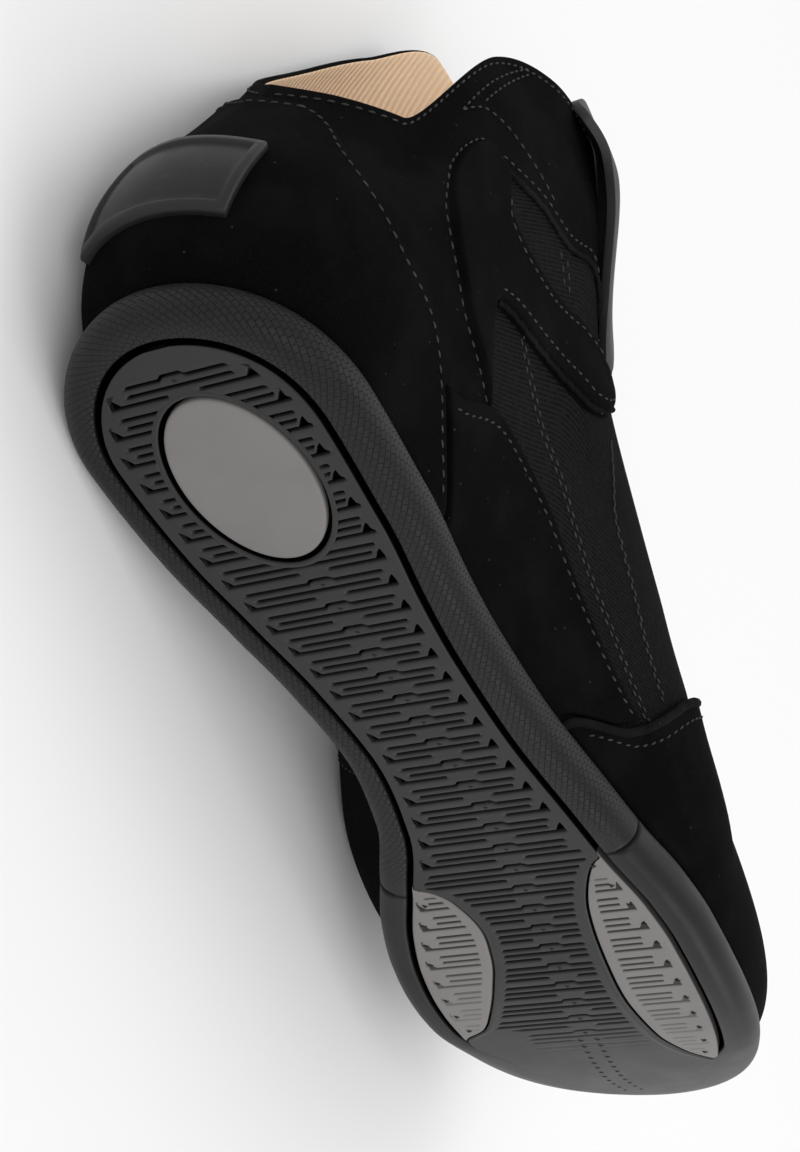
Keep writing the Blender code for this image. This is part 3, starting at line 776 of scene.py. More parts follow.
def textile_height(made):
    """Diagonal ribs crossed by a fine honeycomb, on the sheet's own UV map."""
    turned = made.node("ShaderNodeMapping", Vector=made.cut(), Rotation=(0, 0, math.radians(65)))
    ribs = made.node(
        "ShaderNodeTexWave", Vector=turned.outputs["Vector"], Scale=34.0, Distortion=0.6, Detail=1.0)
    cells = made.node("ShaderNodeTexVoronoi", Vector=turned.outputs["Vector"], Scale=75.0)
    return made.math("ADD", ribs.outputs["Fac"], made.math("MULTIPLY", cells.outputs["Distance"], 0.8))


def textile_colour(made):
    """Textile threads, darker in the cells between them."""
    share = made.ramp(textile_height(made), 0.35, 0.95)
    return made.blend(share, shade("textile", 0.55), shade("textile", 1.2))


def textile_finish():
    """Ribbed textile alone."""
    made = Finish("ribbed_textile", "textile", 0.85, 0.25)
    made.feed(made.shader.inputs["Base Color"], textile_colour(made))
    made.bump(textile_height(made), 0.8, 0.5)
    return made.made


def lining_finish():
    """Tan ribbed lining, its colour made paler as painted light."""
    made = Finish("ribbed_lining", "lining", 0.88, 0.2)
    made.shader.inputs["Sheen Weight"].default_value = 0.15
    ribs = made.node("ShaderNodeTexWave", Vector=made.cut(), Scale=16.0, Distortion=0.8, Detail=1.0)
    made.tint(made.ramp(ribs.outputs["Fac"], 0.45, 0.0), made.times(0.86))
    made.cloud(35.0, 3.0, 0.45, 0.75, 0.90)
    made.bump(ribs.outputs["Fac"], 0.7, 0.6)
    made.grain(2200.0, 2.0, 0.3, 0.2)
    return made.made


def plain_rubber(made):
    """Cloudy dark grey of the tread plate and of the smooth toe."""
    share = made.ramp(made.noise(30.0, 4.0), 0.45, 0.75)
    return made.blend(share, shade("tread"), shade("tread", 1.25))


def rim_finish():
    """Matt rubber with a fine scale pattern that stops before the smooth toe."""
    made = Finish("rim_rubber", "rim", 0.52)
    made.gloss(made.attribute("depth"), made.between(made.attribute("toe"), 0.20, 0.30))
    turned = made.node("ShaderNodeMapping", Vector=made.cut(), Rotation=(0, 0, math.radians(34)))
    bricks = {"Mortar Size": 0.0018, "Mortar Smooth": 1.0, "Brick Width": 0.0175, "Row Height": 0.0135}
    scales = made.node("ShaderNodeTexBrick", Vector=turned.outputs["Vector"], Scale=1.0, **bricks)
    lines = made.math("MULTIPLY", scales.outputs["Fac"], made.attribute("scales"))
    made.tint(made.math("MULTIPLY", lines, 0.40), made.times(0.40))
    made.cloud(45.0, 4.0, 0.50, 0.78, 1.30)
    wear = made.ramp(made.noise(700.0, 2.0), 0.58, 0.75)
    made.tint(made.math("MULTIPLY", wear, 0.35), made.times(1.8))
    made.tint(made.attribute("toe"), plain_rubber(made))
    # Painted shade: where the depth attribute is high, in the groove and the seam notch, the rubber is
    # darkened to a tenth.
    made.tint(made.attribute("depth"), made.times(0.10))
    made.bump(made.math("SUBTRACT", 1.0, lines), 0.8, 0.4)
    made.grain(1800.0, 2.0, 0.15, 0.10)
    made.rough(90.0, 3.0, 0.38, 0.54)
    return made.made


def tread_finish():
    """Satin rubber with painted shade that makes its grooves and edge walls almost black."""
    made = Finish("tread_rubber", "tread", 0.42)
    made.gloss(made.attribute("depth"), 0.30)
    made.feed(made.shader.inputs["Base Color"], plain_rubber(made))
    specks = made.ramp(made.noise(900.0, 1.0), 0.70, 0.78)
    made.tint(made.math("MULTIPLY", specks, 0.4), made.times(2.4))
    # Painted shade: where the depth attribute is high, in grooves and on the walls at the edges, the rubber
    # is darkened to a twentieth.
    made.tint(made.ramp(made.attribute("depth"), 0.04, 0.28), made.times(0.05))
    made.grain(1800.0, 2.0, 0.15, 0.10)
    made.rough(90.0, 3.0, 0.38, 0.54)
    return made.made


def lens_finish():
    """Smooth grey rubber with faint clouds and painted shade in its grooves."""
    made = Finish("lens_rubber", "lens", 0.48)
    made.gloss(made.attribute("depth"), 0.34)
    made.cloud(42.0, 3.0, 0.42, 0.74, 0.88)
    # Painted shade: grooves and edge walls darkened through the depth attribute.
    made.tint(made.ramp(made.attribute("depth"), 0.05, 0.85), made.times(0.32))
    made.grain(1400.0, 2.0, 0.10, 0.10)
    made.rough(70.0, 2.0, 0.42, 0.56)
    return made.made


def strap_finish():
    """Smooth coated strap with a fine grain."""
    made = Finish("strap_coating", "strap", 0.50, 0.3)
    made.cloud(55.0, 3.0, 0.45, 0.72, 0.78)
    cells = made.node("ShaderNodeTexVoronoi", Vector=made.place(), Scale=1300.0)
    made.bump(cells.outputs["Distance"], 0.25, 0.15)
    made.rough(160.0, 2.0, 0.42, 0.60)
    return made.made


def badge_finish():
    """Moulded rubber, a little darker inside the frame."""
    made = Finish("heel_plate_rubber", "badge", 0.42, 0.25)
    made.tint(made.ramp(made.attribute("depth"), 0.2, 0.8), made.times(0.72))
    made.cloud(260.0, 2.0, 0.62, 0.76, 1.5)
    made.grain(1600.0, 2.0, 0.25, 0.12)
    made.rough(200.0, 2.0, 0.34, 0.50)
    return made.made


def thread_finish():
    """Twisted sewing thread."""
    made = Finish("thread", "thread", 0.75)
    made.cloud(500.0, 2.0, 0.45, 0.7, 2.2)
    made.grain(4200.0, 1.0, 0.5, 0.15)
    return made.made


def pit_shade_finish():
    """Painted shade of the small pits: tread rubber darkened to a tenth."""
    made = Finish("pit_rubber", "tread", 0.8, by=0.10)
    made.cloud(900.0, 1.0, 0.5, 0.8, 2.5)
    return made.made


def floor_finish():
    """Pale matt studio floor."""
    made = Finish("studio_floor", "floor", 0.75)
    made.rough(3.0, 2.0, 0.7, 0.8)
    return made.made


def around_places(per_side, extra):
    """Places and sides for a walk from the heel along the outer side to the toe and back."""
    even = np.linspace(0, 1, per_side)
    outer = np.unique(np.concatenate((even, extra[LATERAL])))
    inner = np.unique(np.concatenate((even, extra[MEDIAL])))
    at = np.concatenate((outer, inner[::-1][1:]))
    side = np.concatenate((np.full(len(outer), LATERAL), np.full(len(inner) - 1, MEDIAL)))
    return at, side


# Rim: the foot of its section as distance out and height, with the groove and at the smooth toe,
# and the mould seam where the scales stop
GROOVED_FOOT = (
    (-11.0, RECESS_Z), (-RIM_WIDTH, RECESS_Z), (-RIM_WIDTH, 1.3), (-7.9, 0.55), (-7.6, 0.18),
    (-7.1, 0.0), (-6.0, 0.0))
SMOOTH_FOOT = (
    (-14.4, 0.03), (-13.9, 0.005), (-13.4, -0.012), (-12.9, -0.02), (-12.4, -0.025),
    (-11.9, -0.02), (-11.4, -0.01))
LIP_SECTION = ((-3.1, RIM_TOP_Z - 0.1), (-3.6, RIM_TOP_Z - 0.5), (-LIP_WIDTH, 8.6), (-LIP_WIDTH, 6.0))
GROOVED_ROLL = 5.0
SMOOTH_ROLL = 11.0
RIM_AROUND = 300
SEAM_STEPS = np.array((-0.0035, -0.0018, -0.0009, 0.0, 0.0009, 0.0018, 0.0035))
SEAM_HALF = 0.0018
SEAM_DEPTH = 0.7
SCALES_FADE = 0.035
TOE_TONE_FROM = 0.66
TOE_TONE_OVER = 0.14


def rim_section(foot, roll):
    """Section of the rim: its foot, the round belly and the lip that holds the upper."""
    rows = list(foot)
    for turn in np.linspace(-math.pi / 2, 0, 14):
        rows.append((roll * math.cos(turn) - roll, RIM_BELLY_Z + RIM_BELLY_Z * math.sin(turn)))
    height = RIM_TOP_Z - RIM_BELLY_Z
    for turn in np.linspace(0, math.pi / 2, 11)[1:]:
        rows.append((LIP_ROUND * math.cos(turn) - LIP_ROUND, RIM_BELLY_Z + height * math.sin(turn)))
    rows += LIP_SECTION
    return np.array(rows)


class SNEAKER_OT_rim(bpy.types.Operator):
    """Rolled rim of the sole, with its groove, its scale pattern and the smooth toe"""
    bl_idname = "sneaker.rim"
    bl_label = "Sole rim"

    def execute(self, context):
        at, side = around_places(RIM_AROUND, {side: end + SEAM_STEPS for side, end in SCALES_END.items()})
        grooved = rim_section(GROOVED_FOOT, GROOVED_ROLL)
        smooth = rim_section(SMOOTH_FOOT, SMOOTH_ROLL)
        ends = np.array([GROOVE_END[s] for s in side])
        toe = ease((at - ends[:, 0]) / (ends[:, 1] - ends[:, 0]))
        seam_at = np.array([SCALES_END[s] for s in side])
        seam = np.clip(1 - np.abs(at - seam_at) / SEAM_HALF, 0, 1)
        scales = 1 - ease((at - seam_at + SCALES_FADE) / SCALES_FADE)

        def place(a, b):
            share = toe[a][:, None]
            section = grooved[b] * (1 - share) + smooth[b] * share
            notch = seam[a] * SEAM_DEPTH * ease((b - 6) / 3) * ease((len(grooved) - 8 - b) / 4)
            return sole_point(at[a], side[a], section[:, 0] - notch, section[:, 1] + 0.6 * notch)

        mesh, a, b = new_sheet(len(at) - 1, len(grooved) - 1, place)
        unfold(mesh, run_lengths(plan(at, side))[a], run_lengths(grooved)[b])
        paint(mesh, "scales", scales[a])
        paint(mesh, "toe", ease((at[a] - TOE_TONE_FROM) / TOE_TONE_OVER))
        # The depth attribute carries painted shade: the groove rows, fading out towards the smooth toe, and
        # the seam notch are painted dark.
        deep = np.where(b < 3, 1.0, np.where(b == 3, 0.5, 0.0)) * (1 - toe[a])
        paint(mesh, "depth", np.maximum(deep, seam[a] * 0.8))
        face_away(mesh)
        add_piece("sole_rim", mesh, [rim_finish()], "rim_rubber", ["sole_cup"])
        return {"FINISHED"}


def oval_reach(x, y):
    """Distance from the heel oval, below 0 inside it."""
    along = (x - OVAL_X) * math.cos(OVAL_TURN) + (y - OVAL_Y) * math.sin(OVAL_TURN)
    aside = (y - OVAL_Y) * math.cos(OVAL_TURN) - (x - OVAL_X) * math.sin(OVAL_TURN)
    size = np.hypot(along / (OVAL_LONG / 2), aside / (OVAL_WIDE / 2))
    return (size - 1) * np.hypot(along, aside) / np.maximum(size, 0.05)


# Grid of a tread sheet in millimetres: rows beside an edge, columns beside a tip or a blunt end
TREAD_RIM = (0.0, 0.0, 0.25, 0.6, 1.3, 2.0, 2.75, 2.95, 3.25, 3.9, 4.2, 4.5, 5.2, 5.6, 6.4, 7.0, 7.4)
TREAD_INNER = 42
LOW_EDGE, BETWEEN, HIGH_EDGE = range(3)
CLOSE_TIP = (0.0, 0.06, 0.2, 0.45, 0.8, 1.3)
CLOSE_END = CLOSE_TIP + (2.0, 2.8, 3.7, 4.7, 5.8)
PITCHES = 40
NO_LINE = -1
HALF_FOR_EDGES = 8.6

# The motif: its lines run out softly, the first steps back in the middle, the third bends back in
# hooks that push the second along, and all keep clear of the heel oval and of narrow tips
HOOKED_LINE = 2
HOOK_FORM = ((2.7, 2.95, 3.5, 4.2, 5.2), (0.0, 1.0, 0.95, 0.6, 0.0))
HOOK_BACK = 2.3
PUSH_BACK = 1.22
PUSH_SPREAD = 0.85
STEP_HALF = 3.4
STEP_SOFT = 1.1
STEP_BACK = 0.85
END_SOFT = 0.35
GAP_SOFT = 0.8
MIDDLE_GAP = 4.2
NO_GAP = -1.0
OVAL_CLEAR = 2.3
OVAL_SOFT = 0.4
OVAL_POCKET = 1.6
POCKET_Z = 2.4
NARROW = 6.5
NARROW_SOFT = 3.0
EDGE_BEVEL = (0.42, 0.10, 0.0)
BEAD_AT = 1.3
BEAD_SPREAD = 0.6
# Share of painted shade on the steep edge walls and at the end columns of a tread sheet
EDGE_SHADE = 0.9

# Where each line stops, from the plate's usual edge, beside the oval, beside a lens and in a lens
PLATE_ENDS = (5.3, 6.7, 3.0)
OVAL_ENDS = (4.2, 4.9, 2.6)
BESIDE_LENS_END = 3.6
LENS_RIM_ENDS = (6.6, 7.2, 3.0)
LENS_INNER_END = 3.2
LENS_Z = 0.05
LENS_WALL = 2.0
WIDE_OPEN = 99.0

Tread = namedtuple(
    "Tread", "first last close low high ends hooks depth fade limit base_z wall hold bead oval gap")


def tread_columns(first, last, close):
    """Columns of a tread sheet: place, line of the motif, share of depth, offset."""
    found = []
    for pitch in range(PITCHES):
        begin = FIRST_LINE_X + PITCH * pitch
        for line, shift in enumerate(LINE_SHIFT):
            for offset, share in LINE_SECTION:
                found.append((begin + shift + offset, line, share, offset))
        found.append((begin + MID_SHIFT, NO_LINE, 0.0, 0.0))
    reach = close[-1] + 0.25
    found = [row for row in found if first + reach < row[0] < last - reach]
    for gap in close:
        found.append((first + gap, NO_LINE, 0.0, 0.0))
        found.append((last - gap, NO_LINE, 0.0, 0.0))
    return np.array(sorted(found))


def run_out(gap, soft):
    """0 before an end and 1 past it, over a soft length."""
    return ease(gap / soft + 0.5)


def line_share(form, x, y, line, wide, from_low, from_high):
    """How much of its depth each line has at places of a tread sheet."""
    aside = y - motif_middle(x)
    present = np.zeros_like(x)
    for index in range(len(LINE_SHIFT)):
        low_end, high_end = form.ends(x, index)
        here = run_out(from_low - low_end, END_SOFT) * run_out(from_high - high_end, END_SOFT)
        if index == HOOKED_LINE:
            here = here * run_out(np.abs(aside) - form.gap, GAP_SOFT)
        present = np.where(line == index, here, present)
    if form.oval:
        present = present * ease((oval_reach(x, y) - OVAL_CLEAR) / OVAL_SOFT)
    return present * ease((wide - NARROW) / NARROW_SOFT) * run_out(form.limit(x) - aside, 1.0)


def line_shift(form, x, y, line, offset, present, from_low, from_high):
    """How far the lines are moved along the sole by the middle step and by the hooks."""
    step = ease((STEP_HALF - np.abs(y - motif_middle(x))) / STEP_SOFT)
    shift = np.where((line == 0) & (present > 0.02), -STEP_BACK * step, 0.0)
    low_hook, high_hook = form.hooks(x)
    hook = low_hook * np.interp(from_low, *HOOK_FORM) + high_hook * np.interp(from_high, *HOOK_FORM)
    shift = shift + np.where((line == HOOKED_LINE) & (offset < 0), -HOOK_BACK * hook, 0.0)
    return shift + np.where(line == 1, -(PUSH_BACK + PUSH_SPREAD * offset) * hook, 0.0)


def tread_sheet(form):
    """A bevelled sheet of rubber between two edges with the grooved motif in it.

    low and high give y of the edges by x; ends gives, for each line, how far from the low and
    the high edge it stops; hooks says how far the third line bends back at each edge; hold is
    the share of the edge's wall that is kept and bead the height of a soft lip beside it."""
    columns = tread_columns(form.first, form.last, form.close)
    rows = [(LOW_EDGE, gap) for gap in TREAD_RIM]
    rows += [(BETWEEN, share) for share in np.linspace(0, 1, TREAD_INNER)[1:-1]]
    rows += [(HIGH_EDGE, gap) for gap in reversed(TREAD_RIM)]
    kind = np.array([row[0] for row in rows])
    value = np.array([row[1] for row in rows])
    last_column = len(columns) - 1
    last_row = len(rows) - 1
    walls = np.array((form.wall, *EDGE_BEVEL))
    painted = {}

    def place(a, b):
        x, line, share, offset = columns[a].T
        y_low = form.low(x)
        y_high = np.maximum(form.high(x), y_low + 0.01)
        wide = y_high - y_low
        scale = np.minimum(1.0, wide / (2 * HALF_FOR_EDGES))
        edge = TREAD_RIM[-1] * scale
        between = y_low + edge + (wide - 2 * edge) * value[b]
        at_edge = np.where(kind[b] == LOW_EDGE, y_low + value[b] * scale, y_high - value[b] * scale)
        y = np.where(kind[b] == BETWEEN, between, at_edge)
        from_low = (y - y_low) / scale
        from_high = (y_high - y) / scale
        present = line_share(form, x, y, line, wide, from_low, from_high)
        shift = line_shift(form, x, y, line, offset, present, from_low, from_high)
        deep = share * present * form.fade(x)
        wall = walls[np.minimum(np.minimum(b, last_row - b), len(EDGE_BEVEL))]
        wall = np.where((a == 0) | (a == last_column), form.wall, wall)
        low_hold, high_hold = form.hold(x)
        wall = wall * np.where(b < last_row / 2, low_hold, high_hold)
        low_bead, high_bead = form.bead(x)
        bead = low_bead * np.exp(-((from_low - BEAD_AT) / BEAD_SPREAD) ** 2)
        bead = bead + high_bead * np.exp(-((from_high - BEAD_AT) / BEAD_SPREAD) ** 2)
        z = form.base_z + form.depth * deep + wall - bead
        # The depth share also carries painted shade: the grooves by their depth, and the steep edge walls
        # and the end columns at a fixed share.
        deep = np.maximum(deep, np.where(wall > 0.4, EDGE_SHADE, 0.0))
        deep = np.maximum(deep, EDGE_SHADE * low_hold * ((a < 2) | (a > last_column - 2)))
        # Under the heel oval the plate sinks into a pocket painted in full shade.
        if form.oval:
            sunk = oval_reach(x, y) < OVAL_POCKET
            z = np.where(sunk, POCKET_Z, z)
            deep = np.where(sunk, 1.0, deep)
        painted["depth"] = deep
        x = x + shift
        return np.stack((x, y, z + spring(x)), -1)

    mesh = new_sheet(last_column, last_row, place)[0]
    paint(mesh, "depth", painted["depth"])
    face_away(mesh, ABOVE_SOLE)
    return mesh


def beside_lens(table, x):
    """1 where the tread plate's edge runs along a lens, 0 elsewhere."""
    return ease((x - table[0].x + 4.0) / 4.0) * (x < table[-1].x)


def plate_edge(table, side, x):
    """Edge of the tread plate on one side, drawn in round the lens there."""
    edge = plate_side[side](x)
    lens = lens_edge(table, side, x, LENS_GAP)
    inside = (x > table[0].x - LENS_GAP) & (x < table[-1].x + LENS_GAP)
    return np.where(inside, side * np.minimum(side * edge, side * lens), edge)


def plate_ends(x, index):
    """Where the plate's lines stop: staggered at the rim, level beside the lenses."""
    usual = PLATE_ENDS[index]
    near_oval = ease((x - 20.0) / 6.0) * ease((74.0 - x) / 6.0)
    low = usual + (OVAL_ENDS[index] - usual) * near_oval
    low = low + (BESIDE_LENS_END - low) * beside_lens(PAD_LATERAL, x)
    return low, usual + (BESIDE_LENS_END - usual) * beside_lens(PAD_MEDIAL, x)


def plate_hooks(x):
    """The plate's hooks stop where the lenses begin."""
    return [1.0 * (beside_lens(table, x) < 0.02) for table in (PAD_LATERAL, PAD_MEDIAL)]


def plate_hold(x):
    """The plate's edge wall fades out past the lenses, where the plate runs into the toe."""
    return [1 - ease((x - table[-1].x + 1.0) / 5.0) for table in (PAD_LATERAL, PAD_MEDIAL)]


def plate_bead(x):
    """Soft lip along the toe side of the lenses."""
    outer = 0.22 * ease((x - 200.0) / 30.0) * (x < PAD_LATERAL[-1].x)
    inner = 0.22 * ease((x - 196.0) / 20.0) * (x < PAD_MEDIAL[-1].x)
    return outer, inner


def plate_fade(x):
    """The plate's grooves grow shallow towards the toe."""
    return 1 - ease((x - 208.0) / 46.0)


def plate_limit(x):
    """Towards the toe the lines stop short of the inner edge."""
    return 60.0 - 44.0 * ease((x - 226.0) / 14.0)


def fade_medial(x):
    """The inner lens's grooves grow shallow towards the toe."""
    return 1 - 0.75 * ease((x - 192.0) / 42.0)


def fade_lateral(x):
    """The outer lens's grooves grow shallow towards the toe."""
    return 1 - 0.80 * ease((x - 200.0) / 58.0)


def lens_sheet(table, side, depth, fade):
    """Grooved sheet of a forefoot lens, with its hooks on the rim's side."""
    def in_order(inner, outer):
        return (inner, outer) if side == MEDIAL else (outer, inner)

    low, high = in_order(lambda x: lens_edge(table, side, x), plate_side[side])
    return tread_sheet(Tread(
        first=table[0].x, last=table[-1].x, close=CLOSE_TIP, low=low, high=high,
        ends=lambda x, index: in_order(LENS_INNER_END, LENS_RIM_ENDS[index]),
        hooks=lambda x: in_order(0.0, 1.0), depth=depth, fade=fade, limit=lambda x: WIDE_OPEN,
        base_z=LENS_Z, wall=LENS_WALL, hold=lambda x: (1.0, 1.0), bead=lambda x: (0.0, 0.0),
        oval=False, gap=NO_GAP))


class SNEAKER_OT_tread(bpy.types.Operator):
    """Tread plate with its grooves, and the two grey forefoot lenses"""
    bl_idname = "sneaker.tread"
    bl_label = "Tread"

    def execute(self, context):
        sizes = context.scene.sneaker_sizes
        plate = Tread(
            first=PLATE_FIRST, last=PLATE_LAST, close=CLOSE_END,
            low=lambda x: plate_edge(PAD_LATERAL, LATERAL, x),
            high=lambda x: plate_edge(PAD_MEDIAL, MEDIAL, x),
            ends=plate_ends, hooks=plate_hooks, depth=sizes.tread_depth / MM, fade=plate_fade,
            limit=plate_limit, base_z=0.0, wall=RECESS_Z, hold=plate_hold, bead=plate_bead,
            oval=True, gap=MIDDLE_GAP)
        add_piece("tread", tread_sheet(plate), [tread_finish()], "tread_rubber", ["tread_plate"])
        finish = lens_finish()
        lenses = (
            ("medial", PAD_MEDIAL, MEDIAL, fade_medial),
            ("lateral", PAD_LATERAL, LATERAL, fade_lateral),
        )
        for name, table, side, fade in lenses:
            mesh = lens_sheet(table, side, sizes.lens_depth / MM, fade)
            add_piece("lens_" + name, mesh, [finish], "pad_rubber", ["forefoot_pad_" + name])
        return {"FINISHED"}


# Sections of the heel oval and of the ring round it: distance past the oval's edge and height
OVAL_STEPS = 128
OVAL_CENTRE = -40.0
OVAL_PAD = (
    (OVAL_CENTRE, 0.10), (-12.0, 0.06), (-4.0, 0.05), (-1.2, 0.05), (-0.45, 0.10), (-0.1, 0.35),
    (0.0, 0.8), (0.0, 1.8))
OVAL_RING = ((0.1, 1.6), (0.9, 1.5), (1.05, 0.5), (1.25, 0.05), (1.6, -0.06), (2.1, -0.06), (2.5, 0.06))
RING_GROOVE_ROWS = 3


def oval_line(turn, grow):
    """Points round the heel oval."""
    along = (OVAL_LONG / 2 + grow) * np.cos(turn)
    aside = (OVAL_WIDE / 2 + grow) * np.sin(turn)
    x = OVAL_X + along * math.cos(OVAL_TURN) - aside * math.sin(OVAL_TURN)
    y = OVAL_Y + along * math.sin(OVAL_TURN) + aside * math.cos(OVAL_TURN)
    return x, y


def oval_sheet(section):
    """A section carried round the heel oval."""
    section = np.array(section)

    def place(a, b):
        grow, z = section[b].T
        x, y = oval_line(2 * math.pi * a / OVAL_STEPS, grow)
        x = np.where(grow == OVAL_CENTRE, OVAL_X, x)
        y = np.where(grow == OVAL_CENTRE, OVAL_Y, y)
        return np.stack((x, y, z), -1)

    return new_sheet(OVAL_STEPS, len(section) - 1, place)


class SNEAKER_OT_oval(bpy.types.Operator):
    """Smooth heel oval and the ring groove round it"""
    bl_idname = "sneaker.oval"
    bl_label = "Heel oval"

    def execute(self, context):
        parts = (
            ("heel_oval", OVAL_PAD, 0, lens_finish(), "pad_rubber", ["heel_pad"]),
            ("heel_oval_ring", OVAL_RING, RING_GROOVE_ROWS, tread_finish(), "tread_rubber", []),
        )
        for name, section, groove_rows, finish, slot, stands_for in parts:
            mesh, a, b = oval_sheet(section)
            # The ring's first rows, its groove, are painted shade through the depth attribute.
            paint(mesh, "depth", np.where(b < groove_rows, 1.0, 0.0))
            face_away(mesh, np.array((OVAL_X, OVAL_Y, 100.0)))
            add_piece(name, mesh, [finish], slot, stands_for)
        return {"FINISHED"}


# Pits, as near-black marks of painted shade: one in each pitch of the middle, a double row at the toe, and
# one by each hook of a lens
MIDDLE_PITS = 31
MIDDLE_PIT_SHIFT = 0.95
MIDDLE_PIT = 0.75
PIT_OFF_OVAL = 4.0
TOE_PITS = 12
TOE_PIT_X = 246.0
TOE_PIT_STEP = 3.7
TOE_PIT_ASIDE = 2.4
TOE_PIT = 1.05
TOE_PIT_SHRINK = 0.03
LENS_PITCHES = range(21, 33)
LENS_PIT_SHIFT = LINE_SHIFT[HOOKED_LINE] - 1.6
LENS_PIT_IN = 3.6
LENS_PIT = 0.95
PIT_DEPTH = 0.22
PIT_TAPER = 0.8


def pit_spots():
    """Places and sizes of the pits."""
    spots = []
    for pitch in range(MIDDLE_PITS):
        x = FIRST_LINE_X + PITCH * pitch + MIDDLE_PIT_SHIFT
        y = float(motif_middle(x))
        if oval_reach(x, y) > PIT_OFF_OVAL:
            spots.append((x, y, MIDDLE_PIT))
    for step in range(TOE_PITS):
        x = TOE_PIT_X + TOE_PIT_STEP * step
        for aside in (-TOE_PIT_ASIDE, TOE_PIT_ASIDE):
            spots.append((x, float(motif_middle(x)) + aside, TOE_PIT - TOE_PIT_SHRINK * step))
    for pitch in LENS_PITCHES:
        x = FIRST_LINE_X + PITCH * pitch + LENS_PIT_SHIFT
        for side, table in ((LATERAL, PAD_LATERAL), (MEDIAL, PAD_MEDIAL)):
            if table[0].x + 2 < x < table[-1].x - 2:
                spots.append((x, float(plate_side[side](x)) - side * LENS_PIT_IN, LENS_PIT))
    return spots


class SNEAKER_OT_marks(bpy.types.Operator):
    """Small three-cornered pits along the middle of the tread and at the toe, made as low near-black solids
    on the tread whose colour is painted shade
    """
    bl_idname = "sneaker.marks"
    bl_label = "Tread pits"

    def execute(self, context):
        mesh = bmesh.new()
        for x, y, size in pit_spots():
            lift = float(spring(x))
            slope = 2 * SPRING_CURVE * max(x - SPRING_X, 0)
            ahead = Vector(to_row((x + 1, y, lift + slope)) - to_row((x, y, lift))).normalized()
            aside = Vector(-SHOE_AXES[2]).cross(ahead)
            turn = Matrix((ahead, aside, ahead.cross(aside))).transposed().to_4x4()
            bmesh.ops.create_cone(
                mesh, cap_ends=True, segments=3, radius1=size * MM, radius2=size * PIT_TAPER * MM,
                depth=PIT_DEPTH * MM, matrix=Matrix.Translation(to_row((x, y, lift - 0.01))) @ turn)
        add_piece("tread_pits", mesh, [pit_shade_finish()], "tread_rubber")
        return {"FINISHED"}


# Grid of the upper's wall, the drop of the textile under the suede and the dark inner band in front
UPPER_AROUND = 260
OUTER_ROWS = 96
LIP_ROWS = 8
INNER_ROWS = 48
WALL_TALL = 125.0
TEXTILE_DROP = 0.7
DARK_ROWS = 6
DARK_FROM = 0.44
TEXTILE_REAR = (
    Edge(0.20, 0.335), Edge(0.26, 0.334), Edge(0.36, 0.302), Edge(0.50, 0.285), Edge(0.62, 0.28),
    Edge(0.72, 0.295))
TEXTILE_TOP = WINDOW_TOP + (Spot(0.49, 1.2),)
TEXTILE_FRONT = 0.70
textile_rear = column(TEXTILE_REAR, "at")
textile_top = column(TEXTILE_TOP, "up")


def textile_share(at, side, up):
    """Where the wall is ribbed textile: the side in front of the ankle overlay and its window."""
    at = fold_side(at, side)[0]
    below_top = run_out(textile_top(at) - up, 0.012)
    return ease((at - textile_rear(up)) / 0.006) * below_top * (at < TEXTILE_FRONT)


class SNEAKER_OT_upper(bpy.types.Operator):
    """The wall of the shoe: suede and textile outside, ribbed lining inside"""
    bl_idname = "sneaker.upper"
    bl_label = "Upper and lining"

    def execute(self, context):
        at, side = around_places(UPPER_AROUND, {LATERAL: (), MEDIAL: ()})
        down = TRAY_Z - UPPER_Z
        outer = np.concatenate(((down, down / 2), np.linspace(0, 1, OUTER_ROWS)))
        lip = np.linspace(0, math.pi, LIP_ROWS + 2)[1:-1]
        inner = np.concatenate((np.linspace(1, 0, INNER_ROWS), (down / 2, down)))
        first_lip = len(outer)
        first_inner = first_lip + len(lip)
        rows = first_inner + len(inner)
        ups = np.concatenate((outer, np.ones(len(lip)), inner))
        turns = np.concatenate((np.zeros(len(outer)), lip, np.full(len(inner), math.pi)))

        def place(a, b):
            b = b % rows
            point, normal, climb = upper_frame(at[a], side[a], ups[b])
            ridge = ease((RIDGE_AT + 0.012 - at[a]) / 0.02)
            radius = WALL / 2
            outside = (b < first_lip) * textile_share(at[a], side[a], np.clip(ups[b], 0, 1))
            through = radius * np.cos(turns[b]) - radius - TEXTILE_DROP * outside
            over = radius * np.sin(turns[b]) * ridge
            return point + through[:, None] * normal + over[:, None] * climb

        mesh, a, b = new_sheet(len(at) - 1, rows, place)
        heights = ups[b % rows]
        unfold(mesh, run_lengths(plan(at, side))[a], heights * WALL_TALL)
        paint(mesh, "textile", textile_share(at[a], side[a], np.clip(heights, 0, 1)))
        for face in mesh.faces:
            rows_here = [b[vert.index] for vert in face.verts]
            lined = min(rows_here) >= first_inner - 2
            dark = max(rows_here) < first_inner + DARK_ROWS and at[a[face.verts[0].index]] > DARK_FROM
            face.material_index = int(lined and not dark)
        close_seams(mesh)
        finishes = [suede_finish("suede_wall", zones=True), lining_finish()]
        add_piece("upper_wall", mesh, finishes, "suede", ["upper"])
        insole = frame["nodes"]["insole"].data
        insole.materials.clear()
        insole.materials.append(lining_finish())
        return {"FINISHED"}


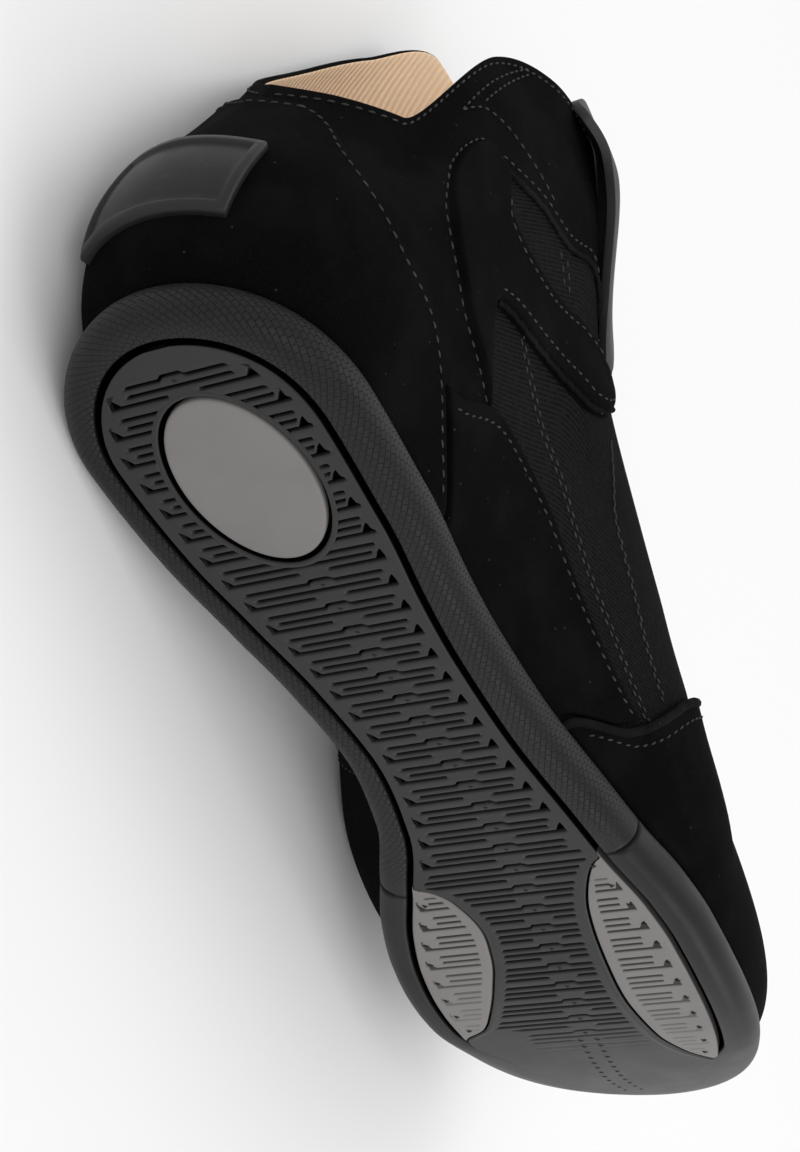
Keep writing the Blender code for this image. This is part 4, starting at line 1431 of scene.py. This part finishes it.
# Overlays: close steps beside an edge, how far an edge is sunk, and the place where the ridge of
# the toe is smoothed, with its reach and how often
EDGE_STEPS = (0.0, 0.22, 0.5, 0.85, 1.3, 2.0)
EDGE_SINK = 0.35
RIDGE_SOFT = ((262.0, 23.4, 57.0), 26.0, 40)
PANEL_LIFT = 0.9
PANEL_OFF_COUNTER = 0.006
PANEL_OFF_VAMP = 0.004
OUTLINE_STEP = 0.6
SIDES = {"lateral": LATERAL, "medial": MEDIAL}
Suede = namedtuple("Suede", "lift wide finish")


def edged(count, size, steps=EDGE_STEPS):
    """Shares from 0 to 1 with close steps at both ends, for an edge of a given real size."""
    near = np.array(steps) / size
    return np.concatenate((near, np.linspace(near[-1], 1 - near[-1], count)[1:-1], 1 - near[::-1]))


def rounded(gap, suede):
    """Height of an overlay's face by the distance from its edge."""
    rest = 1 - np.clip(gap / suede.wide, 0, 1)
    return suede.lift * np.sqrt(1 - rest ** 2)


def overlay(name, shares_a, shares_b, spot, suede, node, free_end=True, soft=()):
    """A suede overlay with rounded edges; spot(a, b) gives place, side and height on the upper."""
    at, side, up = spot(*np.meshgrid(shares_a, shares_b, indexing="ij"))
    base = upper_at(at, side, up)
    along = run_lengths(base, 0)
    across = run_lengths(base, 1)
    gap = np.minimum.reduce((across, across[:, -1:] - across, along))
    if free_end:
        gap = np.minimum(gap, along[-1:] - along)
    points = upper_at(at, side, up, rounded(gap, suede) - EDGE_SINK * (gap < 0.05))
    mesh = new_sheet(len(shares_a) - 1, len(shares_b) - 1, lambda a, b: points[a, b])[0]
    face_away(mesh)
    if soft:
        soften(mesh, *soft)
    add_piece(name, mesh, [suede.finish], "suede", [node])


def smooth_outline(corners, steps=8):
    """Closed smooth line through corners."""
    here = np.array(corners, float)
    back = np.roll(here, 1, 0)
    ahead = np.roll(here, -1, 0)
    beyond = np.roll(here, -2, 0)
    t = np.linspace(0, 1, steps, endpoint=False)[:, None, None]
    line = 2 * here + (ahead - back) * t + (2 * back - 5 * here + 4 * ahead - beyond) * t ** 2
    line = 0.5 * (line + (3 * here - back - 3 * ahead + beyond) * t ** 3)
    return line.transpose(1, 0, 2).reshape(-1, 2)


def depth_inside(points, outline):
    """Distance of points from a closed outline, above 0 inside it."""
    run = np.roll(outline, -1, 0) - outline
    gap = points[:, None, :] - outline
    share = np.clip((gap * run).sum(-1) / (run ** 2).sum(-1), 0, 1)
    near = np.linalg.norm(gap - share[..., None] * run, axis=-1).min(1)
    above = outline[:, 1] > points[:, None, 1]
    rise = np.where(np.abs(run[:, 1]) < 1e-9, 1e-9, run[:, 1])
    meets = outline[:, 0] + run[:, 0] * gap[..., 1] / rise
    crossed = (above != np.roll(above, -1, axis=1)) & (points[:, None, 0] < meets)
    return np.where(crossed.sum(1) % 2 == 1, near, -near)


def outline_overlay(name, corners, side, suede, node):
    """A suede overlay cut to a drawn outline, with its edges rounded down into the wall."""
    outline = smooth_outline(np.array(corners) * PATCH_SPAN)
    low = outline.min(0) - 1.0
    high = outline.max(0) + 1.0
    counts = np.ceil((high - low) / OUTLINE_STEP).astype(int)
    depths = {}

    def place(a, b):
        flat = low + (high - low) * np.stack((a, b), -1) / counts
        depth = depth_inside(flat, outline)
        depths["all"] = depth
        height = np.where(depth > 0, rounded(depth, suede), np.maximum(depth, -1.0))
        at, up = (flat / PATCH_SPAN).T
        return upper_at(at, np.full(len(a), side), up, height)

    mesh = new_sheet(*counts, place)[0]
    depth = depths["all"]
    outside = [face for face in mesh.faces if max(depth[vert.index] for vert in face.verts) < -0.6]
    bmesh.ops.delete(mesh, geom=outside, context="FACES")
    face_away(mesh)
    add_piece(name, mesh, [suede.finish], "suede", [node])


def spot_line(spots, count=160):
    """Even run of places along a drawn line."""
    share = np.linspace(0, 1, len(spots))
    even = np.linspace(0, 1, count)
    at = smooth_curve(share, [spot.at for spot in spots])(even)
    up = smooth_curve(share, [spot.up for spot in spots])(even)
    return at, up


def soften(mesh, centre, radius, times):
    """Smooth the corners near a place."""
    spot = Vector(to_row(centre))
    near = [vert for vert in mesh.verts if (vert.co - spot).length < radius * MM and not vert.is_boundary]
    for turn in range(times):
        bmesh.ops.smooth_vert(
            mesh, verts=near, factor=0.5, use_axis_x=True, use_axis_y=True, use_axis_z=True)


def counter_spot(a, b):
    """Places of the heel counter, round the heel by height."""
    up = COUNTER_EDGE[-1].up * b
    return counter_edge(up) * (2 * a - 1), np.full(a.shape, LATERAL), up


def vamp_spot(a, b):
    """Places of the toe vamp, from its rear edge to the toe by side and height."""
    up = 1 - np.abs(1 - 2 * b)
    first = vamp_edge(up)
    return first + (1 - first) * a, np.where(b <= 0.5, LATERAL, MEDIAL), up


def panel_place(along, up):
    """Place along the foot of a share of the way from the counter to the vamp."""
    first = counter_edge(up) + PANEL_OFF_COUNTER
    return first + (vamp_edge(up) - PANEL_OFF_VAMP - first) * along


class SNEAKER_OT_overlays(bpy.types.Operator):
    """Heel counter, toe vamp, side panels and arched ankle overlays"""
    bl_idname = "sneaker.overlays"
    bl_label = "Suede overlays"

    def execute(self, context):
        sizes = context.scene.sneaker_sizes
        suede = Suede(sizes.overlay_lift / MM, sizes.overlay_round / MM, suede_finish("suede_overlay"))
        thin = suede._replace(lift=suede.lift * PANEL_LIFT)
        overlay("counter_overlay", edged(120, 190.0), edged(56, 75.0), counter_spot, suede, "heel_counter")
        overlay(
            "vamp_overlay", edged(90, 110.0), np.linspace(0, 1, 141), vamp_spot, suede, "toe_vamp",
            free_end=False, soft=RIDGE_SOFT)
        for name, side in SIDES.items():
            def panel_spot(a, b, side=side):
                up = panel_high(a) * b
                return panel_place(a, up), np.full(a.shape, side), up

            overlay(
                "panel_" + name, edged(70, 75.0), edged(26, 30.0), panel_spot, thin, "side_panel_" + name)
            outline_overlay("ankle_overlay_" + name, ANKLE_OUTLINE, side, suede, "ankle_panel_" + name)
        return {"FINISHED"}


# Raised strips along the raw edges: corners of their section, their steps and how flat they lie
TUBE_CORNERS = 8
WELT_STEPS = 221
WELT_FLAT = 0.9
RAW_EDGE_STEPS = 120
RAW_EDGE_WIDE = 0.65
RAW_EDGE_FLAT = 0.8
RAW_EDGES = (("window", WINDOW_TOP, 0.0), ("finger", ANKLE_OUTLINE[FINGER_LOW_SPOTS], 0.5))


def seam_tube(points, normals, wide, flat):
    """A raised rounded strip along a line of points, sunk by half into what carries it."""
    steps = np.gradient(points, axis=0)
    steps /= np.linalg.norm(steps, axis=-1, keepdims=True)
    aside = np.cross(steps, normals)

    def place(a, b):
        turn = 2 * math.pi * b / TUBE_CORNERS
        return (points[a] + (np.cos(turn) * wide / 2)[:, None] * aside[a]
                + (np.sin(turn) * wide / 2 * flat)[:, None] * normals[a])

    return new_sheet(len(points) - 1, TUBE_CORNERS, place)[0]


class SNEAKER_OT_welt(bpy.types.Operator):
    """Raised welt along the rear edge of the toe vamp, and the raw edges of the ankle overlays"""
    bl_idname = "sneaker.welt"
    bl_label = "Vamp welt"

    def execute(self, context):
        wide = context.scene.sneaker_sizes.welt_wide / MM
        lift = context.scene.sneaker_sizes.overlay_lift / MM
        finish = suede_finish("suede_raw_edge", nap_light=2.6)

        def lay(name, at, side, up, height, thick, flat):
            point, normal = upper_frame(at, side, up)[:2]
            mesh = seam_tube(point + height[:, None] * normal, normal, thick, flat)
            close_seams(mesh)
            add_piece(name, mesh, [finish], "suede")

        b = np.linspace(0.0, 1.0, WELT_STEPS)
        up = 1 - np.abs(1 - 2 * b)
        wave = 0.12 * np.sin(b * 190.0) + 0.10 * np.sin(b * 83.0)
        side = np.where(b <= 0.5, LATERAL, MEDIAL)
        lay("vamp_welt", vamp_edge(up) + 0.0015, side, up, lift * 0.75 + wave, wide, WELT_FLAT)
        step = np.arange(RAW_EDGE_STEPS)
        wave = 0.12 * np.sin(step * 1.7) + 0.1 * np.sin(step * 0.77)
        for name, side in SIDES.items():
            for part, spots, rest in RAW_EDGES:
                at, up = spot_line(spots, RAW_EDGE_STEPS)
                label = "raw_edge_" + part + "_" + name
                lay(label, at, side, up, rest + wave, wide * RAW_EDGE_WIDE, RAW_EDGE_FLAT)
        return {"FINISHED"}


# Stitches: how far a row stands off the wall and off an overlay, and the fan below the collar
ON_WALL = 0.12
ON_TEXTILE = ON_WALL - TEXTILE_DROP
ON_COLLAR = 0.1
ON_OVERLAY = 0.02
COUNTER_TOP = COUNTER_EDGE[-1].up - 0.03
EVEN = np.linspace(0, 1, 160)
FAN = (
    (Spot(0.255, 0.86), Spot(0.315, 0.985)),
    (Spot(0.275, 0.85), Spot(0.315, 0.965)),
    (Spot(0.255, 0.86), Spot(0.355, 0.72)),
)


def sew(mesh, at, side, up, offset, sizes, weave=0.0):
    """Stitches at even steps along a line on the upper."""
    point, normal = upper_frame(at, side, up)[:2]
    point = point + offset * normal
    run = run_lengths(point)

    def read(line, place):
        return np.array([np.interp(place, run, line[:, i]) for i in range(3)])

    step = sizes.stitch_step / MM
    size = Matrix.Diagonal((sizes.stitch_length / 2, sizes.stitch_wide / 2, sizes.stitch_wide / 2, 1.0))
    for place in np.arange(step / 2, run[-1], step):
        centre = read(point, place)
        ahead = Vector((read(point, place + 0.4) - centre) @ SHOE_AXES).normalized()
        out = Vector(read(normal, place) @ SHOE_AXES).normalized()
        ahead = (ahead + out.cross(ahead).normalized() * weave).normalized()
        aside = out.cross(ahead).normalized()
        turn = Matrix((ahead, aside, ahead.cross(aside))).transposed().to_4x4()
        bmesh.ops.create_uvsphere(
            mesh, u_segments=6, v_segments=4, radius=1.0,
            matrix=Matrix.Translation(to_row(centre)) @ turn @ size)


def side_rows(lift):
    """Rows of stitches on one side: place, height, distance off the wall and slant."""
    up = 0.03 + (COUNTER_TOP - 0.03) * EVEN
    yield counter_edge(up) - 0.0085, up, lift + ON_OVERLAY, 0.15
    along = 0.03 + 0.94 * EVEN
    up = panel_high(along) - 0.022
    yield panel_place(along, up), up, lift * PANEL_LIFT + ON_OVERLAY, 0.2
    up = 0.04 + 0.94 * EVEN
    yield vamp_edge(up) + 0.0105, up, lift + ON_OVERLAY, 0.15
    at, up = spot_line(ANKLE_OUTLINE[REAR_SPOTS])
    yield at - 0.0045, up + 0.006 * ease((up - 0.62) / 0.08), ON_WALL, 0.1
    at, up = spot_line(ANKLE_OUTLINE[FINGER_TOP_SPOTS])
    yield at - 0.002, up - 0.020, lift, 0.1
    at, up = spot_line(ANKLE_OUTLINE[FINGER_LOW_SPOTS])
    yield at, up + 0.024, lift, 0.1
    at, up = spot_line(WINDOW_TOP)
    yield at, up + 0.022, ON_WALL, 0.1
    for line in (TEXTILE_SEAM, FRONT_ROW):
        at, up = spot_line(line)
        for aside in (0.0, 0.013):
            yield at, up + aside, ON_TEXTILE, 0.1
    for aside in (0.0, 0.008):
        yield 0.372 + aside + 0.013 * EVEN, 0.652 - 0.055 * EVEN, ON_TEXTILE, 0.0
    at = 0.03 + 0.36 * EVEN
    yield at, 1 - 3.2 / (60.0 + 300.0 * at), ON_COLLAR, 0.1


class SNEAKER_OT_stitches(bpy.types.Operator):
    """Rows of stitches inside the edges of the overlays, along the collar and in a fan below it"""
    bl_idname = "sneaker.stitches"
    bl_label = "Stitches"

    def execute(self, context):
        sizes = context.scene.sneaker_sizes
        lift = sizes.overlay_lift / MM
        mesh = bmesh.new()
        for side in SIDES.values():
            for at, up, offset, weave in side_rows(lift):
                sew(mesh, at, side, up, offset, sizes, weave)
        for start, stop in FAN:
            at, up = np.array(start)[:, None] + (np.array(stop) - np.array(start))[:, None] * EVEN
            sew(mesh, at, LATERAL, up, ON_WALL, sizes)
        at = -0.09 + 0.18 * EVEN
        sew(mesh, at, LATERAL, np.full(at.shape, COUNTER_TOP), lift + ON_OVERLAY, sizes, 0.15)
        add_piece("stitches", mesh, [thread_finish()], "suede")
        return {"FINISHED"}


def thicken(piece, thickness, offset, width):
    """Give a sheet its thickness and a rounded edge."""
    wall = piece.modifiers.new("wall", "SOLIDIFY")
    wall.thickness = thickness * MM
    wall.offset = offset
    edge = piece.modifiers.new("edge", "BEVEL")
    edge.width = width * MM
    edge.segments = 3
    edge.limit_method = "ANGLE"


STRAP_ACROSS = 110
STRAP_ALONG = 26


class SNEAKER_OT_strap(bpy.types.Operator):
    """Smooth ankle strap over the top of the throat"""
    bl_idname = "sneaker.strap"
    bl_label = "Ankle strap"

    def execute(self, context):
        thick = context.scene.sneaker_sizes.strap_thick / MM
        rear = column(STRAP_REAR, "rear")
        stand = column(STRAP_REAR, "stand")
        front = column(STRAP_REAR, "front")

        def place(a, b):
            across = a / STRAP_ACROSS
            share = b / STRAP_ALONG
            at = rear(across) + (STRAP_TO - rear(across)) * share
            off = front(across) + (stand(across) - front(across)) * (1 - share)
            return over_instep(at, across, off + 0.12 * np.sin(across * 40.0), STRAP_REACH)

        mesh = new_sheet(STRAP_ACROSS, STRAP_ALONG, place)[0]
        face_away(mesh)
        piece = add_piece("strap", mesh, [strap_finish()], "strap", ["ankle_strap"])
        thicken(piece, thick, 1.0, 0.7)
        return {"FINISHED"}


TONGUE_ACROSS = 60
TONGUE_ALONG = 80
TONGUE_ABOVE = 12


class SNEAKER_OT_tongue(bpy.types.Operator):
    """Padded tongue under the throat"""
    bl_idname = "sneaker.tongue"
    bl_label = "Tongue"

    def execute(self, context):
        thick = context.scene.sneaker_sizes.tongue_thick / MM

        def place(a, b):
            across = a / TONGUE_ACROSS
            share = np.maximum(b - TONGUE_ABOVE, 0) / (TONGUE_ALONG - TONGUE_ABOVE)
            at = TONGUE_FROM + (TONGUE_TO - TONGUE_FROM) * share
            off = TONGUE_EDGE + (TONGUE_OFFSET - TONGUE_EDGE) * np.sin(math.pi * across) ** 0.5
            point = over_instep(at, across, off, TONGUE_REACH)
            lift = point - over_instep(at + 0.02, across, off, TONGUE_REACH)
            lift /= np.linalg.norm(lift, axis=-1, keepdims=True)
            rise = TONGUE_RISE * np.maximum(TONGUE_ABOVE - b, 0) / TONGUE_ABOVE
            return point + rise[:, None] * lift

        mesh, a, b = new_sheet(TONGUE_ACROSS, TONGUE_ALONG, place)
        unfold(mesh, a * 0.9, b * 1.4)
        full = mesh.verts.layers.deform.new()
        for vert, across in zip(mesh.verts, a / TONGUE_ACROSS):
            vert[full][0] = 0.08 + 0.92 * math.sin(math.pi * across) ** 0.5
        face_away(mesh)
        piece = add_piece("tongue_pad", mesh, [textile_finish(), lining_finish()], "lining", ["tongue"])
        piece.vertex_groups.new(name="padding")
        thicken(piece, thick, -1.0, 0.3)
        piece.modifiers["wall"].vertex_group = "padding"
        piece.modifiers["wall"].material_offset = 1
        return {"FINISHED"}


BADGE_WIDE = 47.0
BADGE_TALL = 24.0
BADGE_LEVELS = np.array((-1.2, 0.35, 0.85, 1.0, 1.0, 0.92, 0.62, 0.55))
BADGE_CREST = 3
BADGE_FIELD = 5


class SNEAKER_OT_badge(bpy.types.Operator):
    """Plain moulded plate on the heel with a raised frame"""
    bl_idname = "sneaker.badge"
    bl_label = "Heel plate"

    def execute(self, context):
        sizes = context.scene.sneaker_sizes
        thick = sizes.badge_thick / MM
        border = sizes.badge_frame / MM
        steps = (0.0, 0.15, 0.45, 0.9, border - 0.7, border - 0.3, border, border + 0.4)
        share_a = edged(40, BADGE_WIDE, steps)
        share_b = edged(16, BADGE_TALL, steps)

        def from_edges(a, b):
            return np.minimum(a, len(share_a) - 1 - a), np.minimum(b, len(share_b) - 1 - b)

        def levels(a, b, last):
            return [BADGE_LEVELS[np.minimum(edge, last)] for edge in from_edges(a, b)]

        def place(a, b):
            outside = np.minimum(*levels(a, b, BADGE_CREST))
            inside = np.maximum(*levels(a, b, len(BADGE_LEVELS) - 1))
            level = np.where(np.minimum(*from_edges(a, b)) <= BADGE_CREST, outside, inside)
            rise = share_b[b]
            left = BADGE_BOTTOM[0] + (BADGE_TOP[0] - BADGE_BOTTOM[0]) * rise
            right = BADGE_BOTTOM[1] + (BADGE_TOP[1] - BADGE_BOTTOM[1]) * rise
            at = left + (right - left) * share_a[a]
            up = BADGE_LOW + (BADGE_HIGH - BADGE_LOW) * rise
            return upper_at(at, LATERAL, up, BADGE_OFFSET + thick * level)

        mesh, a, b = new_sheet(len(share_a) - 1, len(share_b) - 1, place)
        paint(mesh, "depth", np.where(np.minimum(*from_edges(a, b)) > BADGE_FIELD, 1.0, 0.0))
        face_away(mesh)
        add_piece("heel_plate", mesh, [badge_finish()], "badge", ["heel_badge"])
        return {"FINISHED"}


# Stage: name, place, size and power of each lamp, in metres and watts
LAMPS = (
    ("key_light", (-0.75, -0.95, 1.05), 0.9, 4.0),
    ("side_light", (0.95, -0.85, 0.55), 0.6, 3.2),
    ("top_light", (0.1, 0.5, 1.5), 1.2, 4.5),
)
LIT_PLACE = Vector((0.0, 0.0, 0.05))
SKY_POWER = 0.9
FLOOR_SIZE = 40.0


class SNEAKER_OT_stage(bpy.types.Operator):
    """Pale floor, soft lights and the camera at the photograph's angle"""
    bl_idname = "sneaker.stage"
    bl_label = "Stage"

    def execute(self, context):
        scene = context.scene
        mesh = bmesh.new()
        bmesh.ops.create_grid(mesh, x_segments=8, y_segments=8, size=FLOOR_SIZE)
        data = bpy.data.meshes.new("floor")
        mesh.to_mesh(data)
        mesh.free()
        data.materials.append(floor_finish())
        floor = bpy.data.objects.new("floor", data)
        scene.collection.objects.link(floor)
        world = bpy.data.worlds.new("studio")
        world.use_nodes = True
        sky = world.node_tree.nodes["Background"]
        sky.inputs["Color"].default_value = (1.0, 1.0, 1.0, 1.0)
        sky.inputs["Strength"].default_value = SKY_POWER
        scene.world = world
        for name, spot, size, power in LAMPS:
            light = bpy.data.lights.new(name, "AREA")
            light.shape = "DISK"
            light.size = size
            light.energy = power
            lamp = bpy.data.objects.new(name, light)
            scene.collection.objects.link(lamp)
            lamp.location = spot
            lamp.rotation_euler = (LIT_PLACE - Vector(spot)).to_track_quat("-Z", "Y").to_euler()
        lens = bpy.data.cameras.new("photo_camera")
        lens.sensor_width = SENSOR_MM
        lens.lens = FOCUS_PIXELS / PHOTO_PIXELS * SENSOR_MM
        lens.clip_start = 0.01
        lens.clip_end = 50.0
        camera = bpy.data.objects.new("photo_camera", lens)
        scene.collection.objects.link(camera)
        axes = np.array((CAMERA_RIGHT, -np.array(CAMERA_DOWN), -np.array(CAMERA_AHEAD))) @ SHOE_AXES
        turn = Matrix([list(axis) for axis in axes]).transposed().to_4x4()
        camera.matrix_world = Matrix.Translation(to_row(CAMERA_AT)) @ turn
        scene.camera = camera
        scene.view_settings.view_transform = "Standard"
        return {"FINISHED"}


PIECES = (
    SNEAKER_OT_rim,
    SNEAKER_OT_tread,
    SNEAKER_OT_oval,
    SNEAKER_OT_marks,
    SNEAKER_OT_upper,
    SNEAKER_OT_overlays,
    SNEAKER_OT_welt,
    SNEAKER_OT_stitches,
    SNEAKER_OT_strap,
    SNEAKER_OT_tongue,
    SNEAKER_OT_badge,
    SNEAKER_OT_stage,
)


class SNEAKER_PT_panel(bpy.types.Panel):
    """Lists the pieces of the sneaker's dressing"""
    bl_idname = "SNEAKER_PT_panel"
    bl_label = "Sneaker"
    bl_space_type = "VIEW_3D"
    bl_region_type = "UI"
    bl_category = "Sneaker"

    def draw(self, context):
        for piece in PIECES:
            self.layout.operator(piece.bl_idname)
        for group in (context.scene.sneaker_sizes, context.scene.sneaker_colours):
            box = self.layout.box()
            for name in group.__annotations__:
                box.prop(group, name)


CLASSES = (SNEAKER_PG_sizes, SNEAKER_PG_colours, *PIECES, SNEAKER_PT_panel)


def register():
    for made in CLASSES:
        bpy.utils.register_class(made)
    bpy.types.Scene.sneaker_sizes = bpy.props.PointerProperty(type=SNEAKER_PG_sizes)
    bpy.types.Scene.sneaker_colours = bpy.props.PointerProperty(type=SNEAKER_PG_colours)


def unregister():
    del bpy.types.Scene.sneaker_colours
    del bpy.types.Scene.sneaker_sizes
    for made in reversed(CLASSES):
        bpy.utils.unregister_class(made)


def main():
    register()
    for piece in PIECES:
        group, name = piece.bl_idname.split(".")
        getattr(getattr(bpy.ops, group), name)()


if __name__ == "__main__":
    main()
